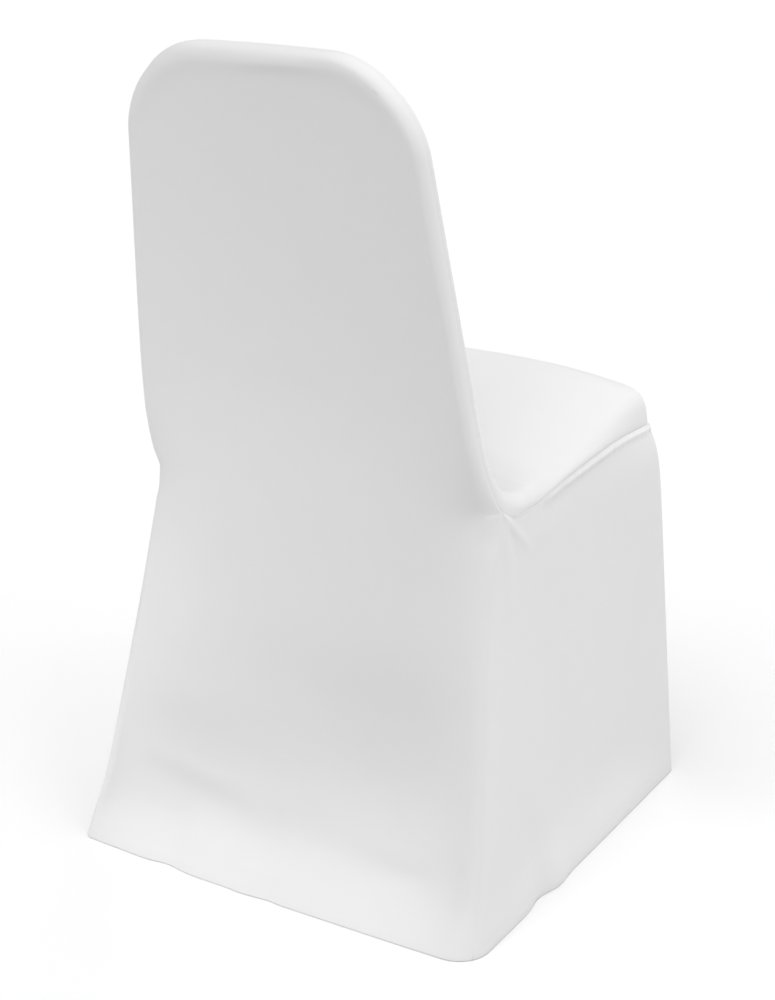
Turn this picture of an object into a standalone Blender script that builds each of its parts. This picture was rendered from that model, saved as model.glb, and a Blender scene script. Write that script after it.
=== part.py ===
"""Fitted cover for a round-top banquet chair: three sewn panels of smooth white polyester.

The chair that it fits faces -Y. The cover is shown as it hangs on the chair, with its hem on the floor
at z = 0 and the origin at the middle of the footprint.

    back_panel             the outside of the back, from the floor hem up over the rounded edge
    front_and_seat_panel   the inside of the back and the seat, cut in one
    skirt                  one strip round both sides and the front, from the seat seam to the hem

Every panel is one sheet. Its face is a grid laid on a smooth surface, and its rim is drawn out ring by
ring round the edge of the chair to the seam that it shares with its neighbour.
"""
import math

import bmesh
import bpy
import numpy as np

CLOTH = 0.0015
SEAM_GAP = 0.00034
JUNCTION_EASE = 0.0006
SEAM_LIP = 0.003

# The back: its top corners, the depth of its edge, and how far the cloth stands off at mid-face.
TOP_CORNER = 0.088
TOP_CROWN = 0.0045
TOP_CROWN_FROM = 0.600
BACK_TOP = 0.899
BACK_TOP_HALF = 0.160
BACK_RECLINE = 0.161
BACK_EDGE = 0.0143
INNER_BACK_CROWN = 0.004

# The seat: its front corners in plan, the rounding of its edge, and its crown.
SEAT_CORNER = 0.024
SEAT_EDGE = 0.016
SEAT_CROWN = 0.030
SEAT_CROWN_RISE = 0.035
SEAT_CROWN_POWER = 3.2
SEAT_BULGE_REAR = 0.002
SEAT_BULGE_FRONT = 0.007
SEAT_BULGE_FROM = 0.140
SEAT_BULGE_OVER = 0.220
SEAT_BLEND = 0.100
EDGE_BLEND_BEFORE = 0.060

# The hem at the floor, in plan. The left rear corner, on +X, is the sharper one.
HEM_Z = 0.0006
HEM_HALF_WIDTH = 0.250
HEM_FRONT = -0.259
HEM_FRONT_NARROWING = 0.004
HEM_REAR_CORNER = 0.034
LEFT_CORNER_SHARE = 0.30
LEFT_EDGE_SHARE = 1.45
LEFT_EDGE_RISE = 0.080
HEM_REAR_ARC_FROM = 60.0
CORNER_EASE_POWER = 3
QUARTER_TURN = 90.0
REAR_CORNER_TURN = 45.0
HEM_FRONT_CORNER = 0.014
REAR_SKEW = 0.006

# The cover hangs lower at the left waist than at the right.
LEFT_DROP = 0.018
LEFT_DROP_SPREAD = 0.070
LEFT_DROP_FROM = (0.060, 0.020)
LEFT_DROP_OVER = (0.130, 0.080)

# The skirt: how far it stands out under the seat seam, and how the lowest part kicks out to the hem.
BULGE_RISE = 0.020
HEM_KICK = 0.008
HEM_KICK_HEIGHT = 0.052
KICK_FROM_FRONT = 0.30

# Grid steps: across a panel, down the back, from the junction to the seat's front, and down the skirt.
ACROSS = 20
DOWN_BACK = 16
ALONG_SEAT = 12
DOWN_SKIRT = 12
RINGS = 4
HEIGHT_EASE = 1.15
SEAT_EASE = 1.25
ARC_POINTS = 12
STRAIGHT_POINTS = 40

WHITE_CLOTH = (0.90, 0.90, 0.91, 1.0)
CLOTH_ROUGHNESS = 0.62

# Sections from the top of the back, down to the junction at the waist, and forward over the seat.
# seam_y, seam_z and half are the seam's place at the side. face_y and face_z are the face beside it.
SECTION_COLUMNS = ("seam_y", "seam_z", "half", "face_y", "face_z")
SECTIONS = (
    (0.2316, 0.8990, 0.1597, 0.2171, 0.8990),
    (0.2157, 0.8000, 0.1710, 0.2012, 0.8000),
    (0.1996, 0.7000, 0.1824, 0.1851, 0.7000),
    (0.1835, 0.6000, 0.1938, 0.1690, 0.6000),
    (0.1750, 0.5500, 0.1990, 0.1605, 0.5500),
    (0.1625, 0.5000, 0.2040, 0.1490, 0.5030),
    (0.1480, 0.4700, 0.2065, 0.1350, 0.4790),
    (0.1340, 0.4480, 0.2085, 0.1140, 0.4620),
    (0.1120, 0.4350, 0.2095, 0.0850, 0.4500),
    (0.0850, 0.4320, 0.2095, 0.0600, 0.4480),
    (0.0050, 0.4400, 0.2085, 0.0000, 0.4510),
    (-0.0700, 0.4450, 0.2080, -0.0650, 0.4590),
    (-0.1360, 0.4480, 0.2080, -0.1300, 0.4690),
    (-0.1900, 0.4460, 0.2080, -0.1860, 0.4770),
    (-0.2270, 0.4430, 0.2080, -0.2280, 0.4800),
)
JUNCTION = 7

# The outside of the back at each height: its half width, then y at the very corner, a little way in from
# it and at the middle, and the rounding of the edge. turn is how far round the edge the panel reaches
# before its seam, in degrees.
REAR_COLUMNS = ("z", "half", "edge_y", "flank_y", "middle_y", "inset", "depth", "turn")
REAR = (
    (0.0000, 0.2500, 0.2500, 0.2500, 0.2570, 0.0340, 0.0340, 45.0),
    (0.0500, 0.2455, 0.2375, 0.2310, 0.2125, 0.0325, 0.0325, 45.0),
    (0.1000, 0.2410, 0.2260, 0.2170, 0.1970, 0.0310, 0.0310, 45.0),
    (0.2000, 0.2307, 0.2020, 0.1960, 0.1890, 0.0260, 0.0260, 45.0),
    (0.3000, 0.2198, 0.1770, 0.1790, 0.1905, 0.0180, 0.0180, 45.0),
    (0.4000, 0.2115, 0.1520, 0.1700, 0.1900, 0.0090, 0.0090, 50.0),
    (0.4480, 0.2085, 0.1425, 0.1710, 0.1900, 0.0075, 0.0085, 90.0),
    (0.4700, 0.2065, 0.1610, 0.1740, 0.1901, 0.0080, 0.0130, 90.0),
    (0.5000, 0.2040, 0.1765, 0.1800, 0.1905, 0.0085, 0.0145, 90.0),
    (0.5500, 0.1990, 0.1898, 0.1898, 0.1930, 0.0085, 0.0145, 90.0),
    (0.6000, 0.1938, 0.1985, 0.1985, 0.1987, 0.0085, 0.0145, 90.0),
    (0.8990, 0.1597, 0.2471, 0.2471, 0.2471, 0.0085, 0.0145, 90.0),
)
FLANK_POWER = 3.0
SKEW_POWER = 1.5
PINCH_POWER = 12.0
FOLD_FADE_POWER = 9.0
CORNER_BLEND = 0.030

# Broad folds of the outside of the back: middle, half spreads, lean in degrees and height out of the face.
FOLD_COLUMNS = ("x", "z", "spread_x", "spread_z", "lean", "height")
REAR_FOLDS = (
    (-0.100, 0.152, 0.085, 0.105, 0.0, -0.0110),
    (-0.170, 0.175, 0.050, 0.100, 0.0, -0.0060),
    (0.145, 0.200, 0.080, 0.105, 0.0, 0.0095),
    (0.142, 0.103, 0.070, 0.013, 11.0, 0.0016),
    (0.130, 0.075, 0.075, 0.017, 16.5, -0.0022),
    (-0.133, 0.048, 0.050, 0.013, -12.7, -0.0018),
    (-0.114, 0.071, 0.060, 0.013, 2.3, 0.0014),
    (0.140, 0.000, 0.020, 0.050, 0.0, -0.0045),
    (-0.020, 0.860, 0.070, 0.030, 0.0, -0.0014),
)

# Waves of the sides near the hem, left being +1: place along the side, half spreads and height.
WAVE_COLUMNS = ("side", "y", "spread_y", "spread_z", "height")
HEM_WAVES = (
    (-1, 0.100, 0.022, 0.060, -0.0050),
    (-1, 0.062, 0.022, 0.060, 0.0030),
    (1, 0.260, 0.070, 0.060, 0.0120),
)
WAVE_SIDE_FROM = 0.200
WAVE_SIDE_OVER = 0.030

# How far the skirt stands out under the seat seam, from the junction to the middle of the front.
BULGE_COLUMNS = ("share", "stand_out")
SIDE_BULGE = (
    (0.00, 0.000),
    (0.15, 0.002),
    (0.55, 0.005),
    (0.85, 0.013),
    (1.00, 0.017),
)
FRONT_BULGE = 0.010


# Below these lengths two places count as one.
SAME_PLACE = 1e-6
NO_LENGTH = 1e-12


def column(rows, columns, name):
    """One named column of a table, as an array."""
    return np.array([row[columns.index(name)] for row in rows])


def through(knots, values, at):
    """A smooth curve through the values: cubic pieces whose slopes are central differences."""
    slopes = np.gradient(values, knots)
    left = np.clip(np.searchsorted(knots, at, side="right") - 1, 0, len(knots) - 2)
    span = knots[left + 1] - knots[left]
    t = (at - knots[left]) / span
    start = (1 + 2 * t) * (1 - t) ** 2 * values[left] + t * (1 - t) ** 2 * span * slopes[left]
    end = t * t * (3 - 2 * t) * values[left + 1] + t * t * (t - 1) * span * slopes[left + 1]
    return start + end


def point(x, y, z):
    """Coordinates joined into an array of points."""
    return np.stack(np.broadcast_arrays(x, y, z), axis=-1)


def eased(share):
    """From 0 to 1 with level ends."""
    share = np.clip(share, 0, 1)
    return share * share * (3 - 2 * share)


def unit(vectors):
    """Each vector at length one."""
    return vectors / np.maximum(np.linalg.norm(vectors, axis=-1, keepdims=True), NO_LENGTH)


SEAM_RUN = np.concatenate([[0.0], np.cumsum(np.hypot(
    np.diff(column(SECTIONS, SECTION_COLUMNS, "seam_y")),
    np.diff(column(SECTIONS, SECTION_COLUMNS, "seam_z"))))])
JUNCTION_RUN = SEAM_RUN[JUNCTION]
WHOLE_RUN = SEAM_RUN[-1]
JUNCTION_Z = SECTIONS[JUNCTION][1]


def section(name, run):
    """A value of the sections at a distance down the side seam from the top."""
    return through(SEAM_RUN, column(SECTIONS, SECTION_COLUMNS, name), run)


def rear(name, z):
    """A value of the outside of the back at a height."""
    return through(column(REAR, REAR_COLUMNS, "z"), column(REAR, REAR_COLUMNS, name), z)


def rounded(across, run, inset):
    """The place (x, distance down) of a grid point once both ends of the outline have round corners.

    In a corner's square the grid is bent to a quarter disc: each coordinate shrinks by the root of one
    less half the square of the other. The inset draws the whole outline in, corners too.
    """
    side = np.sign(across)
    half = section("half", run) - inset
    x = np.abs(across) * half
    top = np.clip((TOP_CORNER - run) / TOP_CORNER, 0, 1)
    front = np.clip((run - WHOLE_RUN + SEAT_CORNER) / SEAT_CORNER, 0, 1)
    radius = np.where(run < TOP_CORNER, TOP_CORNER, SEAT_CORNER) - inset
    end = np.maximum(top, front)
    out = np.clip((x - half + radius) / radius, 0, 1)
    x = np.where(out > 0, half - radius + radius * out * np.sqrt(1 - end ** 2 / 2), x)
    reach = radius * end * np.sqrt(1 - out ** 2 / 2)
    run = np.where(top > 0, TOP_CORNER - reach, run)
    run = np.where(front > 0, WHOLE_RUN - SEAT_CORNER + reach, run)
    return side * x, run


def front_face(across, run, inset):
    """The inside of the back and the seat: the side profile, crowned towards the middle."""
    x, run = rounded(across, run, inset)
    seat = eased((run - JUNCTION_RUN) / SEAT_BLEND)
    dome = 1 - np.clip(np.abs(x) / section("half", run), 0, 1) ** SEAT_CROWN_POWER
    ends = np.sqrt(np.clip((WHOLE_RUN - run) / SEAT_CROWN_RISE, 0, 1))
    y = section("face_y", run) - (1 - seat) * INNER_BACK_CROWN * dome
    z = section("face_z", run) + seat * ends * SEAT_CROWN * dome
    return point(x, y, z)


def side_seam(across, run):
    """The seam round the back and the seat, which all the panels share."""
    x, run = rounded(across, run, 0.0)
    return point(x, section("seam_y", run), section("seam_z", run))


def rear_folds(x, z):
    """The broad folds, each a bell in its own leaning frame."""
    total = np.zeros(np.broadcast(x, z).shape)
    for row in REAR_FOLDS:
        fold = dict(zip(FOLD_COLUMNS, row))
        lean = math.radians(fold["lean"])
        along = (x - fold["x"]) * math.cos(lean) + (z - fold["z"]) * math.sin(lean)
        over = (z - fold["z"]) * math.cos(lean) - (x - fold["x"]) * math.sin(lean)
        bell = np.exp(-(along / fold["spread_x"]) ** 2 - (over / fold["spread_z"]) ** 2)
        total = total + fold["height"] * bell
    return total


def flare(z):
    """How far down from the waist to the hem a height lies, from 0 to 1."""
    return np.clip(1 - z / JUNCTION_Z, 0, 1)


def rear_surface(x, z):
    """The outside of the back: flat and reclined above, drawn in at the waist, flared to the hem."""
    share = np.clip(np.abs(x) / rear("half", z), 0, 1)
    middle = rear("middle_y", z)
    flank = rear("flank_y", z)
    y = middle + (flank - middle) * share ** FLANK_POWER
    y = y + (rear("edge_y", z) - flank) * share ** PINCH_POWER
    y = y - REAR_SKEW * x / HEM_HALF_WIDTH * flare(z) ** SKEW_POWER
    return y + rear_folds(x, z) * (1 - share ** FOLD_FADE_POWER)


def corner_share(across, z):
    """How much of its rounding an edge keeps: on the left it is more above the waist, less to the hem."""
    risen = eased((z - JUNCTION_Z) / LEFT_EDGE_RISE)
    leftward = eased(across + 0.5)
    return 1 + ((LEFT_EDGE_SHARE - 1) * risen - (1 - LEFT_CORNER_SHARE) * flare(z)) * leftward


def rear_face(across, run, height, inset):
    """A point of the outside of the back: by the seam's run above the junction, by height below it."""
    x, shifted = rounded(across, run, inset)
    above = height >= JUNCTION_Z
    z = np.where(above, section("seam_z", shifted), height)
    x = np.where(above, x, across * (rear("half", z) - inset))
    return point(x, rear_surface(x, z), z)


def grid_heights():
    """Heights of the rows below the junction, from the hem up, closer together near the junction."""
    share = np.linspace(0, 1, DOWN_SKIRT + 1)
    return HEM_Z + (JUNCTION_Z - HEM_Z) * (1 - (1 - share) ** HEIGHT_EASE)


def seat_runs():
    """Distances of the rows from the junction to the seat's front, closer together at the junction."""
    share = np.linspace(0, 1, ALONG_SEAT + 1) ** SEAT_EASE
    return JUNCTION_RUN + (WHOLE_RUN - JUNCTION_RUN) * share


def back_runs():
    """Distances of the rows from the top of the back to the junction."""
    return np.linspace(0, JUNCTION_RUN, DOWN_BACK + 1)


def turned(edge, corner, end, degrees, step):
    """One ring of a rim that leaves edge, turns past corner and ends in a short straight lip.

    The turn is part of a quarter ellipse from edge towards end. The last ring is the lip's far side.
    """
    share = min(step / (RINGS - 1), 1.0)
    angle = np.radians(degrees * share)[..., None]
    place = corner + (edge - corner) * (1 - np.sin(angle)) + (end - corner) * (1 - np.cos(angle))
    onward = unit((end - corner) * np.sin(angle) - (edge - corner) * np.cos(angle))
    return place + onward * (SEAM_LIP if step == RINGS else 0.0)


def drawn_back(last, before, amount):
    """A rim pulled back from its seam, towards the ring before it."""
    amount = np.broadcast_to(amount, last.shape[:-1])[..., None]
    return last + unit(before - last) * amount


def rear_rim(across, run, height, step):
    """One ring of the rim of the outside of the back, on its way round the edge to the seam."""
    z = np.where(height >= JUNCTION_Z, section("seam_z", run), height)
    share = corner_share(across, z)
    edge = rear_face(across, run, height, rear("inset", z) * share)
    corner = rear_face(across, run, height, 0.0)
    seam = side_seam(across, run)
    above = seam + unit(corner - seam) * SEAM_LIP
    below = corner + point(0.0, -rear("depth", z) * share, 0.0)
    end = np.where((height >= JUNCTION_Z)[..., None], above, below)
    return turned(edge, corner, end, rear("turn", z), step)


def rear_corner_seam(side, height, step=RINGS):
    """The seam down a rear corner below the junction, or a ring before it."""
    low = np.minimum(height, JUNCTION_Z - SAME_PLACE)
    across = np.full_like(low, side)
    run = np.full_like(low, JUNCTION_RUN)
    below = rear_rim(across, run, low, step)
    top = rear_rim(across, run, np.full_like(low, JUNCTION_Z), step)
    blend = np.clip((height - JUNCTION_Z + CORNER_BLEND) / CORNER_BLEND, 0, 1)[..., None]
    return below + (top - below) * blend


def hem_outline(side):
    """The hem in plan from a rear corner seam to the middle of a front corner, as closely set points."""
    seam = rear_corner_seam(side, np.array([HEM_Z]))[0]
    radius = HEM_REAR_CORNER * corner_share(side, 0.0)
    turn = np.radians(np.linspace(HEM_REAR_ARC_FROM, 90, ARC_POINTS))
    rear_x = HEM_HALF_WIDTH - radius * (1 - np.sin(turn))
    rear_y = seam[1] - radius * math.cos(math.radians(REAR_CORNER_TURN)) + radius * np.cos(turn)
    front_half = HEM_HALF_WIDTH - HEM_FRONT_NARROWING
    corner_y = HEM_FRONT + HEM_FRONT_CORNER
    straight = np.linspace(0, 1, STRAIGHT_POINTS)[1:-1]
    side_x = HEM_HALF_WIDTH - HEM_FRONT_NARROWING * straight ** 2
    side_y = rear_y[-1] + (corner_y - rear_y[-1]) * straight
    turn = np.radians(np.linspace(0, 45, ARC_POINTS))
    front_x = front_half - HEM_FRONT_CORNER * (1 - np.cos(turn))
    front_y = corner_y - HEM_FRONT_CORNER * np.sin(turn)
    x = np.concatenate([[abs(seam[0])], rear_x, side_x, front_x])
    y = np.concatenate([[seam[1]], rear_y, side_y, front_y])
    return point(side * x, y, HEM_Z)


def front_hem_outline():
    """The hem in plan across the front, between the middles of the front corners."""
    front_half = HEM_HALF_WIDTH - HEM_FRONT_NARROWING
    turn = np.radians(np.linspace(45, 90, ARC_POINTS))
    x = front_half - HEM_FRONT_CORNER * (1 - np.cos(turn))
    y = HEM_FRONT + HEM_FRONT_CORNER * (1 - np.sin(turn))
    straight = np.linspace(x[-1], -x[-1], STRAIGHT_POINTS)[1:-1]
    x = np.concatenate([x, straight, -x[::-1]])
    y = np.concatenate([y, np.full_like(straight, HEM_FRONT), y[::-1]])
    return point(x, y, HEM_Z)


def run_shares(points):
    """How far along a line of points each one lies, from 0 to 1."""
    steps = np.linalg.norm(np.diff(points, axis=0), axis=1)
    run = np.concatenate([[0.0], np.cumsum(steps)])
    return run / run[-1]


def along(points, shares):
    """Points at given shares of a line's length."""
    own = run_shares(points)
    return np.stack([np.interp(shares, own, points[:, axis]) for axis in range(3)], axis=-1)


def skirt_face():
    """The skirt as a grid: rows from the seat seam to the hem, columns from one rear corner to the next."""
    runs = seat_runs()
    columns_across = np.linspace(1, -1, ACROSS + 1)
    near_top = side_seam(np.ones_like(runs), runs)
    front_top = side_seam(columns_across, np.full_like(columns_across, WHOLE_RUN))
    far_top = side_seam(-np.ones_like(runs), runs)
    near_share = run_shares(near_top)
    far_share = run_shares(far_top)
    front_share = run_shares(front_top)
    near_hem = along(hem_outline(1.0), near_share)
    front_hem = along(front_hem_outline(), front_share)
    far_hem = along(hem_outline(-1.0), far_share)
    top = np.concatenate([near_top, front_top[1:-1], far_top[::-1]])
    hem = np.concatenate([near_hem, front_hem[1:-1], far_hem[::-1]])
    bulge_share = column(SIDE_BULGE, BULGE_COLUMNS, "share")
    stand_out = column(SIDE_BULGE, BULGE_COLUMNS, "stand_out")
    near_bulge = through(bulge_share, stand_out, near_share)
    middle = np.abs(front_share - 0.5) * 2
    front_bulge = FRONT_BULGE + (stand_out[-1] - FRONT_BULGE) * middle ** 2
    bulge = np.concatenate([near_bulge, front_bulge[1:-1], near_bulge[::-1]])
    near_kick = eased((1 - near_share) / KICK_FROM_FRONT)
    kick_share = np.concatenate([near_kick, 0 * front_bulge[1:-1], near_kick[::-1]])[None, :, None]
    from_near = (1 - near_share) ** CORNER_EASE_POWER
    from_far = (1 - far_share[::-1]) ** CORNER_EASE_POWER
    near_end = np.concatenate([from_near, np.zeros(len(top) - len(near_share))])
    far_end = np.concatenate([np.zeros(len(top) - len(far_share)), from_far])
    tangent = unit(np.gradient(hem, axis=0))
    outward = point(tangent[:, 1], -tangent[:, 0], np.zeros(len(tangent)))
    outward = outward * np.sign(np.sum(outward * hem, axis=1))[:, None]
    heights = grid_heights()[::-1]
    drop = ((JUNCTION_Z - heights) / (JUNCTION_Z - HEM_Z))[:, None, None]
    face = top[None] + (hem - top)[None] * drop
    fall = drop * JUNCTION_Z
    swell = (1 - np.exp(-fall / BULGE_RISE)) * (1 - drop)
    kick = HEM_KICK * (1 - np.exp(-((JUNCTION_Z - fall) / HEM_KICK_HEIGHT) ** 2)) * drop * kick_share
    ends = np.maximum(near_end, far_end)[None, :, None]
    face = face + outward[None] * (swell * bulge[None, :, None] - kick * (1 - ends))
    for side, end, index in ((1.0, near_end, 0), (-1.0, far_end, -1)):
        seam = rear_corner_seam(side, heights)
        face = face + (seam - face[:, index])[:, None, :] * end[None, :, None]
    return face


def skirt_grid():
    """The skirt's grid, drawn back from its seams on three sides."""
    face = skirt_face()
    heights = grid_heights()[::-1]
    lips = []
    for side, seam, inner in ((1.0, face[:, 0], face[:, 1]), (-1.0, face[:, -1], face[:, -2])):
        onward = unit(seam - rear_corner_seam(side, heights, RINGS - 1))
        down = np.clip((JUNCTION_Z - heights) / CORNER_BLEND, 0, 1)[:, None]
        onward = unit(onward * down + unit(inner - seam) * (1 - down))
        lips.append(seam + onward * SEAM_LIP)
    near_lip, far_lip = lips[0][:, None], lips[1][:, None]
    face = np.concatenate([face[:, :1], near_lip, face[:, 1:-1], far_lip, face[:, -1:]], axis=1)
    near = np.zeros(face.shape[1])
    near[0] = near[-1] = JUNCTION_EASE
    face[0] = drawn_back(face[0], face[1], SEAM_GAP + near)
    face[:, 0] = drawn_back(face[:, 0], face[:, 1], SEAM_GAP)
    face[:, -1] = drawn_back(face[:, -1], face[:, -2], SEAM_GAP)
    return face


def rim_of_grid(rows, columns, first_row, with_end):
    """Grid places round a panel's rim: up one side, across the start row, down the other, and the end."""
    rim = [(row, 0) for row in range(first_row, 0, -1)]
    rim += [(0, step) for step in range(columns)]
    rim += [(row, columns) for row in range(first_row)]
    rim += [(first_row, columns)]
    if with_end:
        rim += [(rows, step) for step in range(columns - 1, 0, -1)]
    return rim


def back_panel_parts():
    """Grid, rim and rings of the outside of the back, whose rows run from the top down to the hem."""
    runs = np.concatenate([back_runs(), np.full(DOWN_SKIRT, JUNCTION_RUN)])
    heights = np.concatenate([np.full(DOWN_BACK + 1, 1.0), grid_heights()[::-1][1:]])
    across = np.linspace(-1, 1, ACROSS + 1)[None, :]
    run = runs[:, None] + 0 * across
    height = heights[:, None] + 0 * across
    z = np.where(height >= JUNCTION_Z, section("seam_z", run), height)
    across = across + 0 * run
    grid = rear_face(across, run, height, rear("inset", z) * corner_share(across, z))
    rim = rim_of_grid(len(runs) - 1, ACROSS, len(runs) - 1, False)
    rim_row = np.array([place[0] for place in rim])
    rim_column = np.array([place[1] for place in rim])
    rim_across = across[0][rim_column]
    rings = [rear_rim(rim_across, runs[rim_row], heights[rim_row], step) for step in range(RINGS + 1)]
    for side, edge_column in ((-1.0, 0), (1.0, ACROSS)):
        low = (rim_row >= DOWN_BACK) & (rim_column == edge_column)
        for step in range(RINGS + 1):
            rings[step][low] = rear_corner_seam(side, np.minimum(heights[rim_row[low]], JUNCTION_Z), step)
    rings[-1] = drawn_back(rings[-1], rings[-2], SEAM_GAP / 2 + JUNCTION_EASE * (rim_row == DOWN_BACK))
    for place, start in zip(rim, rings[0]):
        grid[place] = start
    return grid, rim, rings[1:]


def front_panel_parts():
    """Grid, rim and rings of the inside of the back and the seat, from the top to the seat's front."""
    runs = np.concatenate([back_runs(), seat_runs()[1:]])
    across = np.linspace(1, -1, ACROSS + 1)[None, :]
    run = runs[:, None] + 0 * across
    seat = np.clip((run - JUNCTION_RUN + EDGE_BLEND_BEFORE) / SEAT_BLEND, 0, 1)
    inset = BACK_EDGE + (SEAT_EDGE - BACK_EDGE) * seat
    grid = front_face(across + 0 * run, run, inset)
    rim = rim_of_grid(len(runs) - 1, ACROSS, len(runs) - 1, True)
    rim_row = np.array([place[0] for place in rim])
    rim_column = np.array([place[1] for place in rim])
    rim_across = across[0][rim_column]
    rim_run = runs[rim_row]
    edge = np.array([grid[place] for place in rim])
    forward = eased((rim_run - JUNCTION_RUN - SEAT_BULGE_FROM) / SEAT_BULGE_OVER)
    bulge = SEAT_BULGE_REAR + (SEAT_BULGE_FRONT - SEAT_BULGE_REAR) * forward
    corner = front_face(rim_across, rim_run, -bulge * eased((rim_run - JUNCTION_RUN) / SEAT_BLEND))
    seam = side_seam(rim_across, rim_run)
    end = seam + unit(corner - seam) * SEAM_LIP
    rings = [turned(edge, corner, end, np.full(len(rim), QUARTER_TURN), step) for step in range(1, RINGS + 1)]
    ease = JUNCTION_EASE * (rim_row == DOWN_BACK)
    rings[-1] = drawn_back(seam, rings[-2], SEAM_GAP / 2 + ease)
    return grid, rim, rings


def hung(points):
    """The uneven hang, laid over every panel alike: a crowned top, a low left waist, a waving hem."""
    x, y, z = points[..., 0], points[..., 1], points[..., 2]
    risen = np.clip((z - TOP_CROWN_FROM) / (BACK_TOP - TOP_CROWN_FROM), 0, 1)
    crown = TOP_CROWN * risen * (1 - (x / BACK_TOP_HALF) ** 2)
    leftward = eased((x - LEFT_DROP_FROM[0]) / LEFT_DROP_OVER[0])
    rearward = eased((y - LEFT_DROP_FROM[1]) / LEFT_DROP_OVER[1])
    low = LEFT_DROP * leftward * rearward * np.exp(-((z - JUNCTION_Z) / LEFT_DROP_SPREAD) ** 2)
    sideways = np.zeros(x.shape)
    for row in HEM_WAVES:
        wave = dict(zip(WAVE_COLUMNS, row))
        beside = eased((x * wave["side"] - WAVE_SIDE_FROM) / WAVE_SIDE_OVER)
        bell = np.exp(-((y - wave["y"]) / wave["spread_y"]) ** 2 - (z / wave["spread_z"]) ** 2)
        sideways = sideways + wave["side"] * wave["height"] * beside * bell
    return point(x + sideways, y + BACK_RECLINE * crown, z + crown - low)


def cloth_material(name):
    """Plain white cloth for one panel."""
    material = bpy.data.materials.new(name + "_cloth")
    material.use_nodes = True
    shader = material.node_tree.nodes["Principled BSDF"]
    shader.inputs["Base Color"].default_value = WHITE_CLOTH
    shader.inputs["Roughness"].default_value = CLOTH_ROUGHNESS
    shader.inputs["Metallic"].default_value = 0.0
    return material


def extrude_rim(mesh, verts, ring, closed):
    """Extrudes a line of rim vertices to the next ring and returns the new line."""
    pairs = list(zip(verts, verts[1:] + verts[:1])) if closed else list(zip(verts, verts[1:]))
    edges = [mesh.edges.get(pair) for pair in pairs]
    old = set(verts)
    made = bmesh.ops.extrude_edge_only(mesh, edges=edges)["geom"]
    partner = {}
    for vert in made:
        if isinstance(vert, bmesh.types.BMVert):
            before = next(edge.other_vert(vert) for edge in vert.link_edges if edge.other_vert(vert) in old)
            partner[before] = vert
    line = [partner[vert] for vert in verts]
    for vert, place in zip(line, ring):
        vert.co = place
    return line


def add_panel(collection, name, grid, rim=(), rings=(), closed=False):
    """One panel: a grid set on its face, its rim extruded to the seams, and the cloth's thickness."""
    grid = hung(grid)
    rings = [hung(ring) for ring in rings]
    rows = grid.shape[0] - 1
    columns = grid.shape[1] - 1
    mesh = bmesh.new()
    bmesh.ops.create_grid(mesh, x_segments=columns, y_segments=rows, size=1.0)
    at = {}
    for vert in mesh.verts:
        place = (round((vert.co.y + 1) / 2 * rows), round((vert.co.x + 1) / 2 * columns))
        at[place] = vert
    for place, vert in at.items():
        vert.co = grid[place]
    line = [at[place] for place in rim]
    for ring in rings:
        line = extrude_rim(mesh, line, ring, closed)
    bmesh.ops.recalc_face_normals(mesh, faces=mesh.faces)
    middle = grid[rows // 2, columns // 2]
    face = min(mesh.faces, key=lambda f: (f.calc_center_median() - type(f.normal)(middle)).length)
    outward = type(face.normal)(outward_at(name))
    if face.normal.dot(outward) < 0:
        bmesh.ops.reverse_faces(mesh, faces=mesh.faces)
    data = bpy.data.meshes.new(name)
    mesh.to_mesh(data)
    mesh.free()
    data.shade_smooth()
    data.materials.append(cloth_material(name))
    panel = bpy.data.objects.new(name, data)
    collection.objects.link(panel)
    wall = panel.modifiers.new("cloth thickness", "SOLIDIFY")
    wall.thickness = CLOTH
    wall.offset = -1.0
    return panel


def outward_at(name):
    """Which way the middle of a panel's grid faces."""
    return {"back_panel": (0, 1, 0), "front_and_seat_panel": (0, -1, 1), "skirt": (0, -1, 0)}[name]


for thing in list(bpy.data.objects):
    bpy.data.objects.remove(thing, do_unlink=True)

cover = bpy.data.collections.new("fitted_banquet_chair_cover")
bpy.context.scene.collection.children.link(cover)
add_panel(cover, "back_panel", *back_panel_parts())
add_panel(cover, "front_and_seat_panel", *front_panel_parts(), closed=True)
add_panel(cover, "skirt", skirt_grid())
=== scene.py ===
"""The looks of a fitted cover for a round-top banquet chair, sewn from smooth white polyester.

Sections, in the order in which the cover is put together:

    side seam     the curve that all three panels are sewn to
    cloth         the weave and finish of the polyester
    back panel    the outside of the back, from the rounded top down to the hem
    front panel   the inside of the back and the seat, cut in one
    skirt         one strip round both sides and the front
    studio        floor, light and camera
"""

import math

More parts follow.
